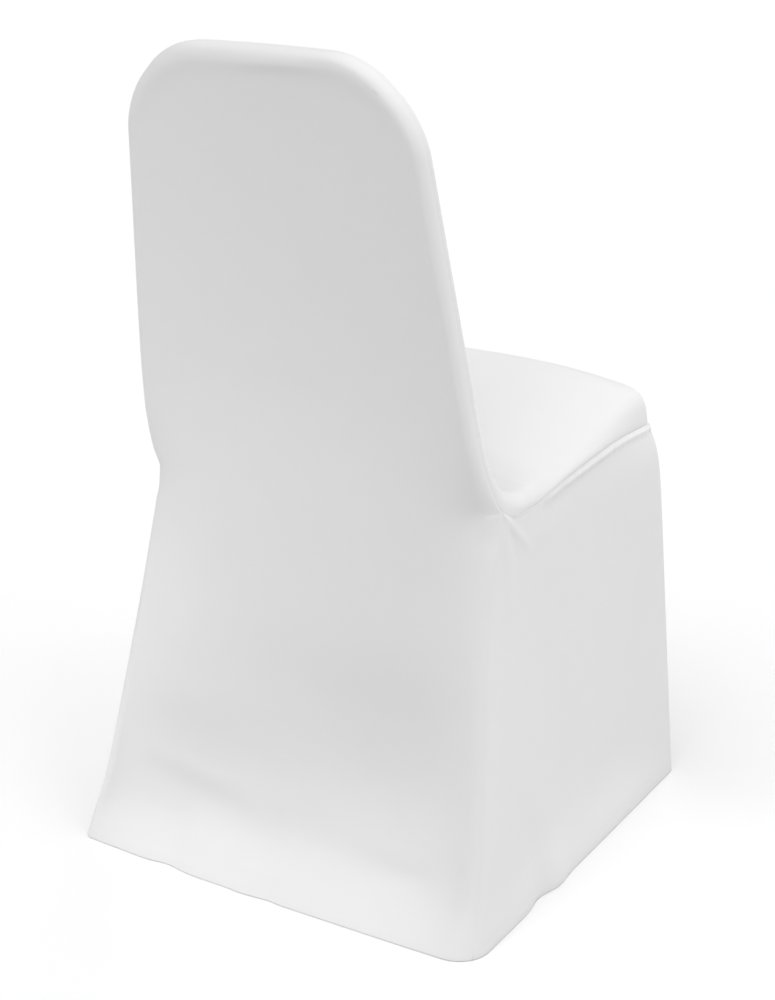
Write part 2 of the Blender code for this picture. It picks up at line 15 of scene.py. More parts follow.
import bmesh
import bpy
import numpy as np
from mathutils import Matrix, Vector


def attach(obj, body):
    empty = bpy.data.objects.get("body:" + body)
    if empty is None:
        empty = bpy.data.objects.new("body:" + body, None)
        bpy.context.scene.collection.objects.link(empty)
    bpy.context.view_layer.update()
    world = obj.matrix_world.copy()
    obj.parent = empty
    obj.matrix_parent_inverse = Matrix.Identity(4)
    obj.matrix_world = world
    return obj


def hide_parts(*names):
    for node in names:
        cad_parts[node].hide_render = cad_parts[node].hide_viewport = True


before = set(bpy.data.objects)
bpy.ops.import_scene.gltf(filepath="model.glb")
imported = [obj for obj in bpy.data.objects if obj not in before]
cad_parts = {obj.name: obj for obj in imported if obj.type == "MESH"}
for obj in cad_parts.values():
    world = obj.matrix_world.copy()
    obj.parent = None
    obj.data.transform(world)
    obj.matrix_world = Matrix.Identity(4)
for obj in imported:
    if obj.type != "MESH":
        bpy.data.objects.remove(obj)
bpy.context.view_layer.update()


# Side seam. Each panel is sewn to its neighbour along one curve, which runs down the edge of the back,
# round the waist and along the seat. The seam is lockstitched, with its allowance turned to the inside.
# seam_y, seam_z and half place the seam, face_y and face_z the inner face beside it.
SECTION_COLUMNS = ("seam_y", "seam_z", "half", "face_y", "face_z")
SECTIONS = (
    (0.2316, 0.8990, 0.1597, 0.2171, 0.8990),
    (0.2157, 0.8000, 0.1710, 0.2012, 0.8000),
    (0.1996, 0.7000, 0.1824, 0.1851, 0.7000),
    (0.1835, 0.6000, 0.1938, 0.1690, 0.6000),
    (0.1750, 0.5500, 0.1990, 0.1605, 0.5500),
    (0.1625, 0.5000, 0.2040, 0.1490, 0.5030),
    (0.1480, 0.4700, 0.2065, 0.1350, 0.4790),
    (0.1340, 0.4480, 0.2085, 0.1140, 0.4620),
    (0.1120, 0.4350, 0.2095, 0.0850, 0.4500),
    (0.0850, 0.4320, 0.2095, 0.0600, 0.4480),
    (0.0050, 0.4400, 0.2085, 0.0000, 0.4510),
    (-0.0700, 0.4450, 0.2080, -0.0650, 0.4590),
    (-0.1360, 0.4480, 0.2080, -0.1300, 0.4690),
    (-0.1900, 0.4460, 0.2080, -0.1860, 0.4770),
    (-0.2270, 0.4430, 0.2080, -0.2280, 0.4800),
)
WAIST_ROW = 7
TOP_CORNER = 0.088
SEAT_CORNER = 0.024
SEAM_GAP = 0.00004
SEAM_ROLL = 0.0002
SEAM_ALLOWANCE = 0.008
LEAST_ALLOWANCE = 0.0012
TRIMMED_FROM = 0.004
TRIMMED_OVER = 0.030
ALLOWANCE_BY_HEIGHT = 0.2
ALLOWANCE_STEPS = 3
ROLL_STEPS = 4
QUARTER_TURN = 90.0
SAME_PLACE = 1e-6
NO_LENGTH = 1e-12


def column(rows, columns, name):
    """One named column of a table, as an array."""
    return np.array([row[columns.index(name)] for row in rows])


def through(knots, values, at):
    """A smooth curve through the values: cubic pieces whose slopes are central differences."""
    slopes = np.gradient(values, knots)
    left = np.clip(np.searchsorted(knots, at, side="right") - 1, 0, len(knots) - 2)
    span = knots[left + 1] - knots[left]
    t = (at - knots[left]) / span
    start = (1 + 2 * t) * (1 - t) ** 2 * values[left] + t * (1 - t) ** 2 * span * slopes[left]
    end = t * t * (3 - 2 * t) * values[left + 1] + t * t * (t - 1) * span * slopes[left + 1]
    return start + end


def point(x, y, z):
    """Coordinates joined into an array of points."""
    return np.stack(np.broadcast_arrays(x, y, z), axis=-1)


def eased(share):
    """From 0 to 1 with level ends."""
    share = np.clip(share, 0, 1)
    return share * share * (3 - 2 * share)


def unit(vectors):
    """Each vector at length one."""
    return vectors / np.maximum(np.linalg.norm(vectors, axis=-1, keepdims=True), NO_LENGTH)


seam_steps = np.hypot(np.diff(column(SECTIONS, SECTION_COLUMNS, "seam_y")),
                      np.diff(column(SECTIONS, SECTION_COLUMNS, "seam_z")))
SEAM_RUN = np.concatenate([[0.0], np.cumsum(seam_steps)])
WAIST_RUN = SEAM_RUN[WAIST_ROW]
WHOLE_RUN = SEAM_RUN[-1]
WAIST_Z = SECTIONS[WAIST_ROW][1]


def section(name, run):
    """A value of the sections at a distance down the seam from the top."""
    return through(SEAM_RUN, column(SECTIONS, SECTION_COLUMNS, name), run)


def rounded(across, run, inset):
    """The place (x, distance down) of a grid point once both ends of the outline have round corners.

    In a corner's square the grid is bent to a quarter disc: each coordinate shrinks by the root of one
    less half the square of the other. The inset draws the whole outline in, corners too.
    """
    half = section("half", run) - inset
    x = np.abs(across) * half
    top = np.clip((TOP_CORNER - run) / TOP_CORNER, 0, 1)
    front = np.clip((run - WHOLE_RUN + SEAT_CORNER) / SEAT_CORNER, 0, 1)
    radius = np.where(run < TOP_CORNER, TOP_CORNER, SEAT_CORNER) - inset
    end = np.maximum(top, front)
    out = np.clip((x - half + radius) / radius, 0, 1)
    x = np.where(out > 0, half - radius + radius * out * np.sqrt(1 - end ** 2 / 2), x)
    reach = radius * end * np.sqrt(1 - out ** 2 / 2)
    run = np.where(top > 0, TOP_CORNER - reach, run)
    run = np.where(front > 0, WHOLE_RUN - SEAT_CORNER + reach, run)
    return np.sign(across) * x, run


def distances(points):
    """How far along its line each point lies; in a grid each column is a line."""
    steps = np.linalg.norm(np.diff(points, axis=0), axis=-1)
    return np.concatenate([np.zeros((1,) + steps.shape[1:]), np.cumsum(steps, axis=0)])


def facing(vectors, outwards):
    """Each vector, turned about where it points outwards."""
    return vectors * -np.sign(np.sum(vectors * outwards, axis=1))[:, None]


def side_seam(across, run):
    """The seam round the back and the seat."""
    x, run = rounded(across, run, 0.0)
    return point(x, section("seam_y", run), section("seam_z", run))


def seam_allowance(line):
    """The width of the seam allowance, trimmed where three panels meet at the waist and at the hem."""
    waists = side_seam(np.array([-1.0, 1.0]), np.full(2, WAIST_RUN))
    away = np.min(np.linalg.norm(line[:, None] - waists, axis=-1), axis=1)
    by_waist = (SEAM_ALLOWANCE - LEAST_ALLOWANCE) * eased((away - TRIMMED_FROM) / TRIMMED_OVER)
    by_height = np.clip(line[:, 2] * ALLOWANCE_BY_HEIGHT, 0, 1)
    return LEAST_ALLOWANCE + np.minimum(by_waist, by_height)


def sewn_edge(last, seam, along, outwards, allowance):
    """The last of a panel's rim: on to the seam, over a small roll and back inside as the seam allowance.

    From the last ring the cloth runs straight on and turns through a small quarter circle, half a gap
    from its neighbour's. From there the allowance, as wide as is given, runs on into the cover.
    """
    onward = unit(seam - last)
    inward = facing(unit(np.cross(onward, along)), outwards)
    reach = (np.linalg.norm(seam - last, axis=1) - SEAM_GAP / 2)[..., None] - SEAM_ROLL
    rings = [last + onward * reach / 2]
    for angle in np.radians(np.linspace(0, QUARTER_TURN, ROLL_STEPS + 1)):
        ahead = reach + SEAM_ROLL * math.sin(angle)
        rings.append(last + onward * ahead + inward * SEAM_ROLL * (1 - math.cos(angle)))
    for share in np.linspace(0, 1, ALLOWANCE_STEPS + 1)[1:]:
        rings.append(rings[ROLL_STEPS + 1] + inward * allowance[..., None] * share)
    return np.array(rings)


# Cloth. The cover is plain-woven filament polyester of about 210 g/m2, bleached white and calendered, so
# it is smooth with a slight sheen. Threads run along and across each panel, about 28 to the centimetre.
CLOTH_THICKNESS = 0.0006
THREADS_PER_METRE = 2800.0
WEAVE_DEPTH = 0.00004
CLOTH_WHITE = (0.850, 0.850, 0.850, 1.0)
CLOTH_SHADE = (0.838, 0.838, 0.840, 1.0)
SHADE_RANGE = (0.45, 0.95)
CLOTH_ROUGHNESS = (0.50, 0.58)
CLOTH_SHEEN = 0.12
SHEEN_ROUGHNESS = 0.4
CLOTH_SPECULAR = 0.35
SLUB_STRETCH = (14.0, 420.0, 1.0)
SLUB_SHARE = 0.3
HANDLING_SCALE = 9.0
HANDLING_DETAIL = 3.0
HANDLING_ROUGHNESS = 0.55
CRUMPLE_DEPTH = 0.0012
CRUMPLE_STRENGTH = 0.25
WEAVE_STRENGTH = 0.5
STITCH_ROW_Z = 0.0165
STITCH_PITCH = 0.0031
STITCH_DEPTH = 0.00008
STITCH_STRENGTH = 0.8
STITCH_END = (0.04, 0.14)
STITCH_SIDE = (0.0001, 0.0004)


def new_group(name, inputs, outputs):
    """An empty shader node group with named sockets, and its input and output nodes."""
    group = bpy.data.node_groups.new(name, "ShaderNodeTree")
    for socket, kind, value in inputs:
        made = group.interface.new_socket(socket, in_out="INPUT", socket_type=kind)
        if value is not None:
            made.default_value = value
    for socket, kind in outputs:
        group.interface.new_socket(socket, in_out="OUTPUT", socket_type=kind)
    return group, group.nodes.new("NodeGroupInput"), group.nodes.new("NodeGroupOutput")


def node(tree, kind, settings=(), **links):
    """One node of a tree, with its settings, and its inputs linked or set by name or index."""
    made = tree.nodes.new(kind)
    for key, value in dict(settings).items():
        setattr(made, key, value)
    for key, value in links.items():
        socket = made.inputs[int(key[1:]) if key[1:].isdigit() else key.replace("_", " ")]
        if isinstance(value, bpy.types.NodeSocket):
            tree.links.new(value, socket)
        else:
            socket.default_value = value
    return made


def reckoned(tree, operation, *values):
    """The result of one math node."""
    inputs = {f"_{place}": value for place, value in enumerate(values)}
    return node(tree, "ShaderNodeMath", {"operation": operation}, **inputs).outputs[0]


def plain_weave_group():
    """Over-and-under threads: the height is a product of two sines along the cloth's own two directions."""
    group, given, out = new_group(
        "plain weave",
        [("UV", "NodeSocketVector", None), ("Threads per metre", "NodeSocketFloat", THREADS_PER_METRE)],
        [("Height", "NodeSocketFloat"), ("Slub", "NodeSocketFloat")])
    turns = reckoned(group, "MULTIPLY", given.outputs[1], math.pi)
    split = node(group, "ShaderNodeSeparateXYZ", _0=given.outputs[0])
    warp = reckoned(group, "SINE", reckoned(group, "MULTIPLY", split.outputs[0], turns))
    weft = reckoned(group, "SINE", reckoned(group, "MULTIPLY", split.outputs[1], turns))
    height = reckoned(group, "MULTIPLY_ADD", reckoned(group, "MULTIPLY", warp, weft), 0.5, 0.5)
    stretch = node(group, "ShaderNodeMapping", _0=given.outputs[0], _3=SLUB_STRETCH)
    slub = node(group, "ShaderNodeTexNoise", {"noise_dimensions": "2D"}, Vector=stretch.outputs[0],
                Scale=1.0, Detail=2.0)
    group.links.new(height, out.inputs[0])
    group.links.new(slub.outputs[0], out.inputs[1])
    return group


def stitch_row_group():
    """A row of stitches at one height: along the row, a stitch and a gap by turns; across it, a thin bar."""
    group, given, out = new_group(
        "stitch row",
        [("UV", "NodeSocketVector", None), ("Place", "NodeSocketVector", None),
         ("Row height", "NodeSocketFloat", STITCH_ROW_Z),
         ("Stitch and gap", "NodeSocketFloat", STITCH_PITCH)],
        [("Height", "NodeSocketFloat")])
    along_cloth = node(group, "ShaderNodeSeparateXYZ", _0=given.outputs[0])
    place = node(group, "ShaderNodeSeparateXYZ", _0=given.outputs[1])
    beats = reckoned(group, "DIVIDE", along_cloth.outputs[0], given.outputs[3])
    beat = reckoned(group, "PINGPONG", beats, 0.5)
    stitch = node(group, "ShaderNodeMapRange", {"interpolation_type": "SMOOTHSTEP"}, Value=beat,
                  From_Min=STITCH_END[0], From_Max=STITCH_END[1])
    away = reckoned(group, "ABSOLUTE", reckoned(group, "SUBTRACT", place.outputs[2], given.outputs[2]))
    bar = node(group, "ShaderNodeMapRange", {"interpolation_type": "SMOOTHSTEP"}, Value=away,
               From_Min=STITCH_SIDE[0], From_Max=STITCH_SIDE[1], To_Min=1.0, To_Max=0.0)
    both = reckoned(group, "MULTIPLY", stitch.outputs[0], bar.outputs[0])
    group.links.new(both, out.inputs[0])
    return group


plain_weave = plain_weave_group()
stitch_row = stitch_row_group()


def polyester(name):
    """The white cloth of one panel: weave on its own UV map, faint slubs, soft creasing and a low sheen."""
    material = bpy.data.materials.new(name)
    material.use_nodes = True
    tree = material.node_tree
    shader = tree.nodes["Principled BSDF"]
    uv = node(tree, "ShaderNodeUVMap", {"uv_map": "cloth"})
    weave = node(tree, "ShaderNodeGroup", {"node_tree": plain_weave}, UV=uv.outputs[0])
    place = node(tree, "ShaderNodeTexCoord")
    handling = node(tree, "ShaderNodeTexNoise", Vector=place.outputs["Object"], Scale=HANDLING_SCALE,
                    Detail=HANDLING_DETAIL, Roughness=HANDLING_ROUGHNESS)
    tone = node(tree, "ShaderNodeMath", {"operation": "MULTIPLY_ADD", "use_clamp": True},
                _0=weave.outputs["Slub"], _1=SLUB_SHARE, _2=handling.outputs[0])
    ramp = node(tree, "ShaderNodeValToRGB", _0=tone.outputs[0])
    for stop, position, colour in zip(ramp.color_ramp.elements, SHADE_RANGE, (CLOTH_SHADE, CLOTH_WHITE)):
        stop.position = position
        stop.color = colour
    tree.links.new(ramp.outputs[0], shader.inputs["Base Color"])
    rough = node(tree, "ShaderNodeMapRange", Value=handling.outputs[0], To_Min=CLOTH_ROUGHNESS[0],
                 To_Max=CLOTH_ROUGHNESS[1])
    tree.links.new(rough.outputs[0], shader.inputs["Roughness"])
    crumple = node(tree, "ShaderNodeBump", Height=handling.outputs[0], Strength=CRUMPLE_STRENGTH,
                   Distance=CRUMPLE_DEPTH)
    threads = node(tree, "ShaderNodeBump", Height=weave.outputs["Height"], Strength=WEAVE_STRENGTH,
                   Distance=WEAVE_DEPTH, Normal=crumple.outputs[0])
    row = node(tree, "ShaderNodeGroup", {"node_tree": stitch_row}, UV=uv.outputs[0],
               Place=place.outputs["Object"])
    stitches = node(tree, "ShaderNodeBump", Height=row.outputs["Height"], Strength=STITCH_STRENGTH,
                    Distance=STITCH_DEPTH, Normal=threads.outputs[0])
    tree.links.new(stitches.outputs[0], shader.inputs["Normal"])
    shader.inputs["Sheen Weight"].default_value = CLOTH_SHEEN
    shader.inputs["Sheen Roughness"].default_value = SHEEN_ROUGHNESS
    shader.inputs["Specular IOR Level"].default_value = CLOTH_SPECULAR
    return material


# Back panel. One panel of the polyester covers the outside of the back: flat and reclined above, drawn in
# at the waist, and flared to the floor. Its edge wraps round to the side seam, and below the waist it is
# sewn to the skirt down the rear corners.

# half, edge_y, flank_y and middle_y are the half width and y at the corner, beside it and at the middle;
# inset and depth round the corner, and turn is how far round it the panel reaches, in degrees.
REAR_COLUMNS = ("z", "half", "edge_y", "flank_y", "middle_y", "inset", "depth", "turn")
REAR = (
    (0.0000, 0.2500, 0.2500, 0.2500, 0.2570, 0.0340, 0.0340, 45.0),
    (0.0500, 0.2455, 0.2375, 0.2310, 0.2125, 0.0325, 0.0325, 45.0),
    (0.1000, 0.2410, 0.2260, 0.2170, 0.1970, 0.0310, 0.0310, 45.0),
    (0.2000, 0.2307, 0.2020, 0.1960, 0.1890, 0.0260, 0.0260, 45.0),
    (0.3000, 0.2198, 0.1770, 0.1790, 0.1905, 0.0180, 0.0180, 45.0),
    (0.4000, 0.2115, 0.1520, 0.1700, 0.1900, 0.0090, 0.0090, 50.0),
    (0.4480, 0.2085, 0.1425, 0.1710, 0.1900, 0.0075, 0.0085, 90.0),
    (0.4700, 0.2065, 0.1610, 0.1740, 0.1901, 0.0080, 0.0130, 90.0),
    (0.5000, 0.2040, 0.1765, 0.1800, 0.1905, 0.0085, 0.0145, 90.0),
    (0.5500, 0.1990, 0.1898, 0.1898, 0.1930, 0.0085, 0.0145, 90.0),
    (0.6000, 0.1938, 0.1985, 0.1985, 0.1987, 0.0085, 0.0145, 90.0),
    (0.8990, 0.1597, 0.2471, 0.2471, 0.2471, 0.0085, 0.0145, 90.0),
)
FLANK_POWER = 3.0
PINCH_POWER = 12.0
FOLD_FADE_POWER = 9.0
HEM_HALF_WIDTH = 0.250
REAR_SKEW = 0.006
SKEW_POWER = 1.5
LEFT_CORNER_SHARE = 0.30
LEFT_EDGE_SHARE = 1.45
LEFT_EDGE_RISE = 0.080
CORNER_BLEND = 0.030
EDGE_LIP = 0.003
EDGE_RINGS = 9
RING_SHARES = np.linspace(0, 1, EDGE_RINGS + 1)
NEAR_WRAP_END = 0.98
HEM_Z = 0.0004
HEM_FOLD = 0.0008
HEM_EDGE_Z = HEM_Z + HEM_FOLD
HEM_TURN_UP = 0.018
HEM_FOLD_STEPS = 6
HEM_TURN_UP_STEPS = 3
BACK_ACROSS = 116
BACK_ROWS_ABOVE = 122
BACK_ROWS_BELOW = 112
INSIDE_TOP = 0.7
INSIDE_AHEAD = 0.001

# Broad folds of the lower back, each a bell: x and z of its middle, its spreads along x and z, its lean in
# degrees, and its height out of the face.
REAR_FOLDS = (
    (-0.100, 0.152, 0.085, 0.105, 0.0, -0.0110),
    (-0.170, 0.175, 0.050, 0.100, 0.0, -0.0060),
    (0.145, 0.200, 0.080, 0.105, 0.0, 0.0095),
    (0.142, 0.103, 0.070, 0.013, 11.0, 0.0011),
    (0.130, 0.075, 0.075, 0.017, 16.5, -0.0014),
    (0.155, 0.152, 0.050, 0.015, 11.0, -0.0006),
    (-0.133, 0.048, 0.050, 0.013, -12.7, -0.0018),
    (-0.114, 0.071, 0.060, 0.013, 2.3, 0.0014),
    (0.140, 0.000, 0.020, 0.050, 0.0, -0.0045),
    (0.037, 0.000, 0.011, 0.018, 0.0, 0.0014),
    (0.002, 0.000, 0.012, 0.018, 0.0, -0.0016),
)

# The uneven hang of the whole cover: a crowned top, a low left waist, and waves of the sides at the hem.
# A wave is given by its side, its y, its spreads along y and up, and its height.
TOP_CROWN = 0.0045
TOP_CROWN_FROM = 0.600
BACK_TOP = 0.899
BACK_TOP_HALF = 0.160
BACK_RECLINE = 0.161
LEFT_DROP = 0.018
LEFT_DROP_SPREAD = 0.070
LEFT_DROP_FROM = (0.060, 0.020)
LEFT_DROP_OVER = (0.130, 0.080)
HEM_WAVES = (
    (-1, 0.100, 0.022, 0.060, -0.0050),
    (-1, 0.062, 0.022, 0.060, 0.0030),
    (1, 0.260, 0.070, 0.060, 0.0120),
)
WAVE_SIDE_FROM = 0.200
WAVE_SIDE_OVER = 0.030
HALF_TURN = 180.0


def rear(name, z):
    """A value of the outside of the back at a height."""
    return through(column(REAR, REAR_COLUMNS, "z"), column(REAR, REAR_COLUMNS, name), z)


def bells(rows, a, b):
    """Folds in a plane: each is a bell in its own leaning frame, with its own two spreads."""
    total = np.zeros(np.broadcast(a, b).shape)
    for row_a, row_b, spread_a, spread_b, lean, height in rows:
        lean = math.radians(lean)
        along = (a - row_a) * math.cos(lean) + (b - row_b) * math.sin(lean)
        over = (b - row_b) * math.cos(lean) - (a - row_a) * math.sin(lean)
        total = total + height * np.exp(-(along / spread_a) ** 2 - (over / spread_b) ** 2)
    return total


def flare(z):
    """How far down from the waist to the hem a height lies, from 0 to 1."""
    return np.clip(1 - z / WAIST_Z, 0, 1)


def rear_surface(x, z):
    """The y of the outside of the back: the middle, drawn to the flank and pinched to the corner."""
    share = np.clip(np.abs(x) / rear("half", z), 0, 1)
    middle = rear("middle_y", z)
    flank = rear("flank_y", z)
    y = middle + (flank - middle) * share ** FLANK_POWER
    y = y + (rear("edge_y", z) - flank) * share ** PINCH_POWER
    y = y - REAR_SKEW * x / HEM_HALF_WIDTH * flare(z) ** SKEW_POWER
    return y + bells(REAR_FOLDS, x, z) * (1 - share ** FOLD_FADE_POWER)


def corner_share(across, z):
    """How much of its rounding an edge keeps: on the left it is more above the waist, less to the hem."""
    risen = eased((z - WAIST_Z) / LEFT_EDGE_RISE)
    leftward = eased(across + 0.5)
    return 1 + ((LEFT_EDGE_SHARE - 1) * risen - (1 - LEFT_CORNER_SHARE) * flare(z)) * leftward


def rear_face(across, run, height, inset):
    """A point of the outside of the back: by the seam's run above the waist, by height below it."""
    x, shifted = rounded(across, run, inset)
    above = height >= WAIST_Z
    z = np.where(above, section("seam_z", shifted), height)
    x = np.where(above, x, across * (rear("half", z) - inset))
    return point(x, rear_surface(x, z), z)


def face_to_wrap(across, run, height):
    """A point of the outside of the back, whose outline is drawn in to where the wrap begins."""
    z = np.where(height >= WAIST_Z, section("seam_z", run), height)
    return rear_face(across, run, height, rear("inset", z) * corner_share(across, z))


def elliptic(edge, corner, end, degrees):
    """A place on the quarter ellipse that leaves edge, turns past corner and reaches end at 90 degrees."""
    angle = np.radians(degrees)[..., None]
    return corner + (edge - corner) * (1 - np.sin(angle)) + (end - corner) * (1 - np.cos(angle))


def rear_corner_controls(across, run, height):
    """The edge, corner and end points that the wrap of the back panel turns between."""
    z = np.where(height >= WAIST_Z, section("seam_z", run), height)
    corner = rear_face(across, run, height, 0.0)
    seam = side_seam(across, run)
    above = seam + unit(corner - seam) * EDGE_LIP
    below = corner + point(0.0, -rear("depth", z) * corner_share(across, z), 0.0)
    edge = face_to_wrap(across, run, height)
    return edge, corner, np.where((height >= WAIST_Z)[..., None], above, below), rear("turn", z)


def rear_wrap(across, run, height, share):
    """The wrap of the back panel round its edge, share being 0 at the face and 1 where the lip begins."""
    edge, corner, end, turn = rear_corner_controls(across, run, height)
    return elliptic(edge, corner, end, turn * share)


def rear_wrap_near_waist(side, height, share):
    """The wrap at a rear corner below the waist, eased into the waist's own wrap over the last stretch."""
    low = np.minimum(height, WAIST_Z - SAME_PLACE)
    across = np.full_like(low, side)
    run = np.full_like(low, WAIST_RUN)
    below = rear_wrap(across, run, low, share)
    top = rear_wrap(across, run, np.full_like(low, WAIST_Z), share)
    blend = np.clip((height - WAIST_Z + CORNER_BLEND) / CORNER_BLEND, 0, 1)[:, None]
    return below + (top - below) * blend


def rear_corner_seam(side, height):
    """The seam down a rear corner: where the wrap ends, and a lip's width on."""
    end = rear_wrap_near_waist(side, height, 1.0)
    before = rear_wrap_near_waist(side, height, NEAR_WRAP_END)
    return end + unit(end - before) * EDGE_LIP


def hung(points):
    """The uneven hang, laid over every panel alike: crowned top, low left waist, waving hem."""
    x, y, z = points[..., 0], points[..., 1], points[..., 2]
    risen = np.clip((z - TOP_CROWN_FROM) / (BACK_TOP - TOP_CROWN_FROM), 0, 1)
    crown = TOP_CROWN * risen * (1 - (x / BACK_TOP_HALF) ** 2)
    leftward = eased((x - LEFT_DROP_FROM[0]) / LEFT_DROP_OVER[0])
    rearward = eased((y - LEFT_DROP_FROM[1]) / LEFT_DROP_OVER[1])
    low = LEFT_DROP * leftward * rearward * np.exp(-((z - WAIST_Z) / LEFT_DROP_SPREAD) ** 2)
    sideways = np.zeros(x.shape)
    for side, wave_y, spread_y, spread_z, height in HEM_WAVES:
        beside = eased((x * side - WAVE_SIDE_FROM) / WAVE_SIDE_OVER)
        bell = np.exp(-((y - wave_y) / spread_y) ** 2 - (z / spread_z) ** 2)
        sideways = sideways + side * height * beside * bell
    return point(x + sideways, y + BACK_RECLINE * crown, z + crown - low)


def turned_up(row_at, sideways):
    """The turned-up hem: half a small circle under the edge, then up the inside of the cloth.

    row_at gives the whole row of the panel at a height. Each row of the fold is that row, moved inwards
    by its place round the circle; sideways is the inward direction along the row.
    """
    turns = np.radians(np.linspace(0, HALF_TURN, HEM_FOLD_STEPS + 1))
    heights = HEM_Z + HEM_FOLD * (1 - np.sin(turns))
    depths = HEM_FOLD * (1 - np.cos(turns))
    rise = np.linspace(0, 1, HEM_TURN_UP_STEPS + 1)[1:]
    heights = np.concatenate([heights, HEM_EDGE_Z + rise * (HEM_TURN_UP - HEM_FOLD)])
    depths = np.concatenate([depths, np.full(HEM_TURN_UP_STEPS, 2 * HEM_FOLD)])
    return np.array([row_at(height) + sideways * depth for height, depth in zip(heights, depths)])


def inward_along(row):
    """The level direction into the cover along a hem row, square to the row."""
    tangent = unit(np.gradient(row, axis=0))
    inward = point(-tangent[:, 1], tangent[:, 0], 0.0 * tangent[:, 0])
    return unit(facing(inward, row))


def patch(points, lift=0.0):
    """One stretch of a panel: its points, how far its creases lift it, and its place on the flat cloth."""
    flat = np.stack([distances(points.transpose(1, 0, 2)).T, distances(points)], axis=-1)
    return hung(points), np.broadcast_to(lift, points.shape[:2]), flat


CREASE_TAPER = 0.45
CREASE_FADE = 1.5


def creases(rows, a, b):
    """Short creases in a plane: each runs from one point to another, round across and faded at both ends."""
    total = np.zeros(np.broadcast(a, b).shape)
    for from_a, from_b, to_a, to_b, width, height in rows:
        length = math.hypot(to_a - from_a, to_b - from_b)
        along = ((a - from_a) * (to_a - from_a) + (b - from_b) * (to_b - from_b)) / length
        over = ((b - from_b) * (to_a - from_a) - (a - from_a) * (to_b - from_b)) / length
        beyond = np.maximum(np.maximum(-along, along - length), 0)
        taper = 1 - CREASE_TAPER * np.clip(along / length, 0, 1)
        faded = (beyond / (CREASE_FADE * width)) ** 2
        total = total + height * taper * np.exp(-(over / width) ** 2 - faded)
    return total


def put_in_scene(name, data):
    """A new object that shows the data, linked to the scene."""
    made = bpy.data.objects.new(name, data)
    bpy.context.scene.collection.objects.link(made)
    return made


def sewn_panel(name, patches, outward, material):
    """A panel's mesh: its stretches joined where their edges meet, lifted along the normals, thickened.

    outward is the side that the middle of the first stretch has to face.
    """
    points = np.concatenate([p.reshape(-1, 3) for p, _, _ in patches])
    lift = np.concatenate([lift.reshape(-1) for _, lift, _ in patches])
    flat = np.concatenate([flat.reshape(-1, 2) for _, _, flat in patches])
    faces = []
    start = 0
    for stretch, _, _ in patches:
        rows, columns = stretch.shape[:2]
        index = start + np.arange(rows * columns).reshape(rows, columns)
        corners = (index[:-1, :-1], index[1:, :-1], index[1:, 1:], index[:-1, 1:])
        faces.append(np.stack(corners, axis=-1).reshape(-1, 4))
        start += rows * columns
    faces = np.concatenate(faces)
    places = np.round(points / SAME_PLACE).astype(np.int64)
    _, first, joined = np.unique(places, axis=0, return_index=True, return_inverse=True)
    joined = joined.reshape(-1)
    corners = joined[faces]
    whole = np.all([corners[:, i] != corners[:, j] for i, j in ((0, 1), (1, 2), (2, 3), (3, 0))], axis=0)
    faces, corners = faces[whole], corners[whole]
    data = bpy.data.meshes.new(name)
    data.from_pydata(points[first], [], corners.tolist())
    uv = data.uv_layers.new(name="cloth")
    uv.data.foreach_set("uv", flat[faces.reshape(-1)].reshape(-1))
    data.update()
    mesh = bmesh.new()
    mesh.from_mesh(data)
    bmesh.ops.recalc_face_normals(mesh, faces=mesh.faces)
    mesh.faces.ensure_lookup_table()
    rows, columns = patches[0][0].shape[:2]
    middle = mesh.faces[rows // 2 * (columns - 1) + columns // 2]
    if middle.normal.dot(Vector(outward)) < 0:
        bmesh.ops.reverse_faces(mesh, faces=mesh.faces)
    mesh.to_mesh(data)
    mesh.free()
    place = np.zeros(len(data.vertices) * 3)
    normal = np.zeros(len(data.vertices) * 3)
    data.vertices.foreach_get("co", place)
    data.vertex_normals.foreach_get("vector", normal)
    place = place.reshape(-1, 3) + normal.reshape(-1, 3) * lift[first][:, None]
    data.vertices.foreach_set("co", place.reshape(-1))
    data.update()
    data.shade_smooth()
    data.materials.append(material)
    panel = put_in_scene(name, data)
    wall = panel.modifiers.new("cloth thickness", "SOLIDIFY")
    wall.thickness = CLOTH_THICKNESS
    wall.offset = -1.0
    return panel


across = np.linspace(-1, 1, BACK_ACROSS + 1)
runs_above = np.linspace(0, WAIST_RUN, BACK_ROWS_ABOVE + 1)
heights_below = np.linspace(WAIST_Z, HEM_EDGE_Z, BACK_ROWS_BELOW + 1)[1:]


def lower_back_row(height):
    """The whole row of the back panel at a height below the waist, from one corner seam to the other."""
    height = np.atleast_1d(height)
    ends = []
    for side in (-1.0, 1.0):
        rings = np.array([rear_wrap_near_waist(side, height, share) for share in RING_SHARES])
        seam = rear_corner_seam(side, height)
        onward = unit(seam - rings[-1])
        stop = seam - onward * (SEAM_GAP / 2 + SEAM_ROLL)
        ends.append(np.concatenate([rings, (rings[-1] + stop)[None] / 2, stop[None]]))
    row_across, z = np.meshgrid(across, height)
    face = face_to_wrap(row_across, np.full_like(z, WAIST_RUN), z)
    near = ends[0][::-1].transpose(1, 0, 2)
    far = ends[1].transpose(1, 0, 2)
    return np.concatenate([near, face[:, 1:-1], far], axis=1)


back_height = np.concatenate([np.full(len(runs_above), 1.0), heights_below])
back_run = np.concatenate([runs_above, np.full(len(heights_below), WAIST_RUN)])
back_grid = face_to_wrap(*np.meshgrid(across, back_run), back_height[:, None])

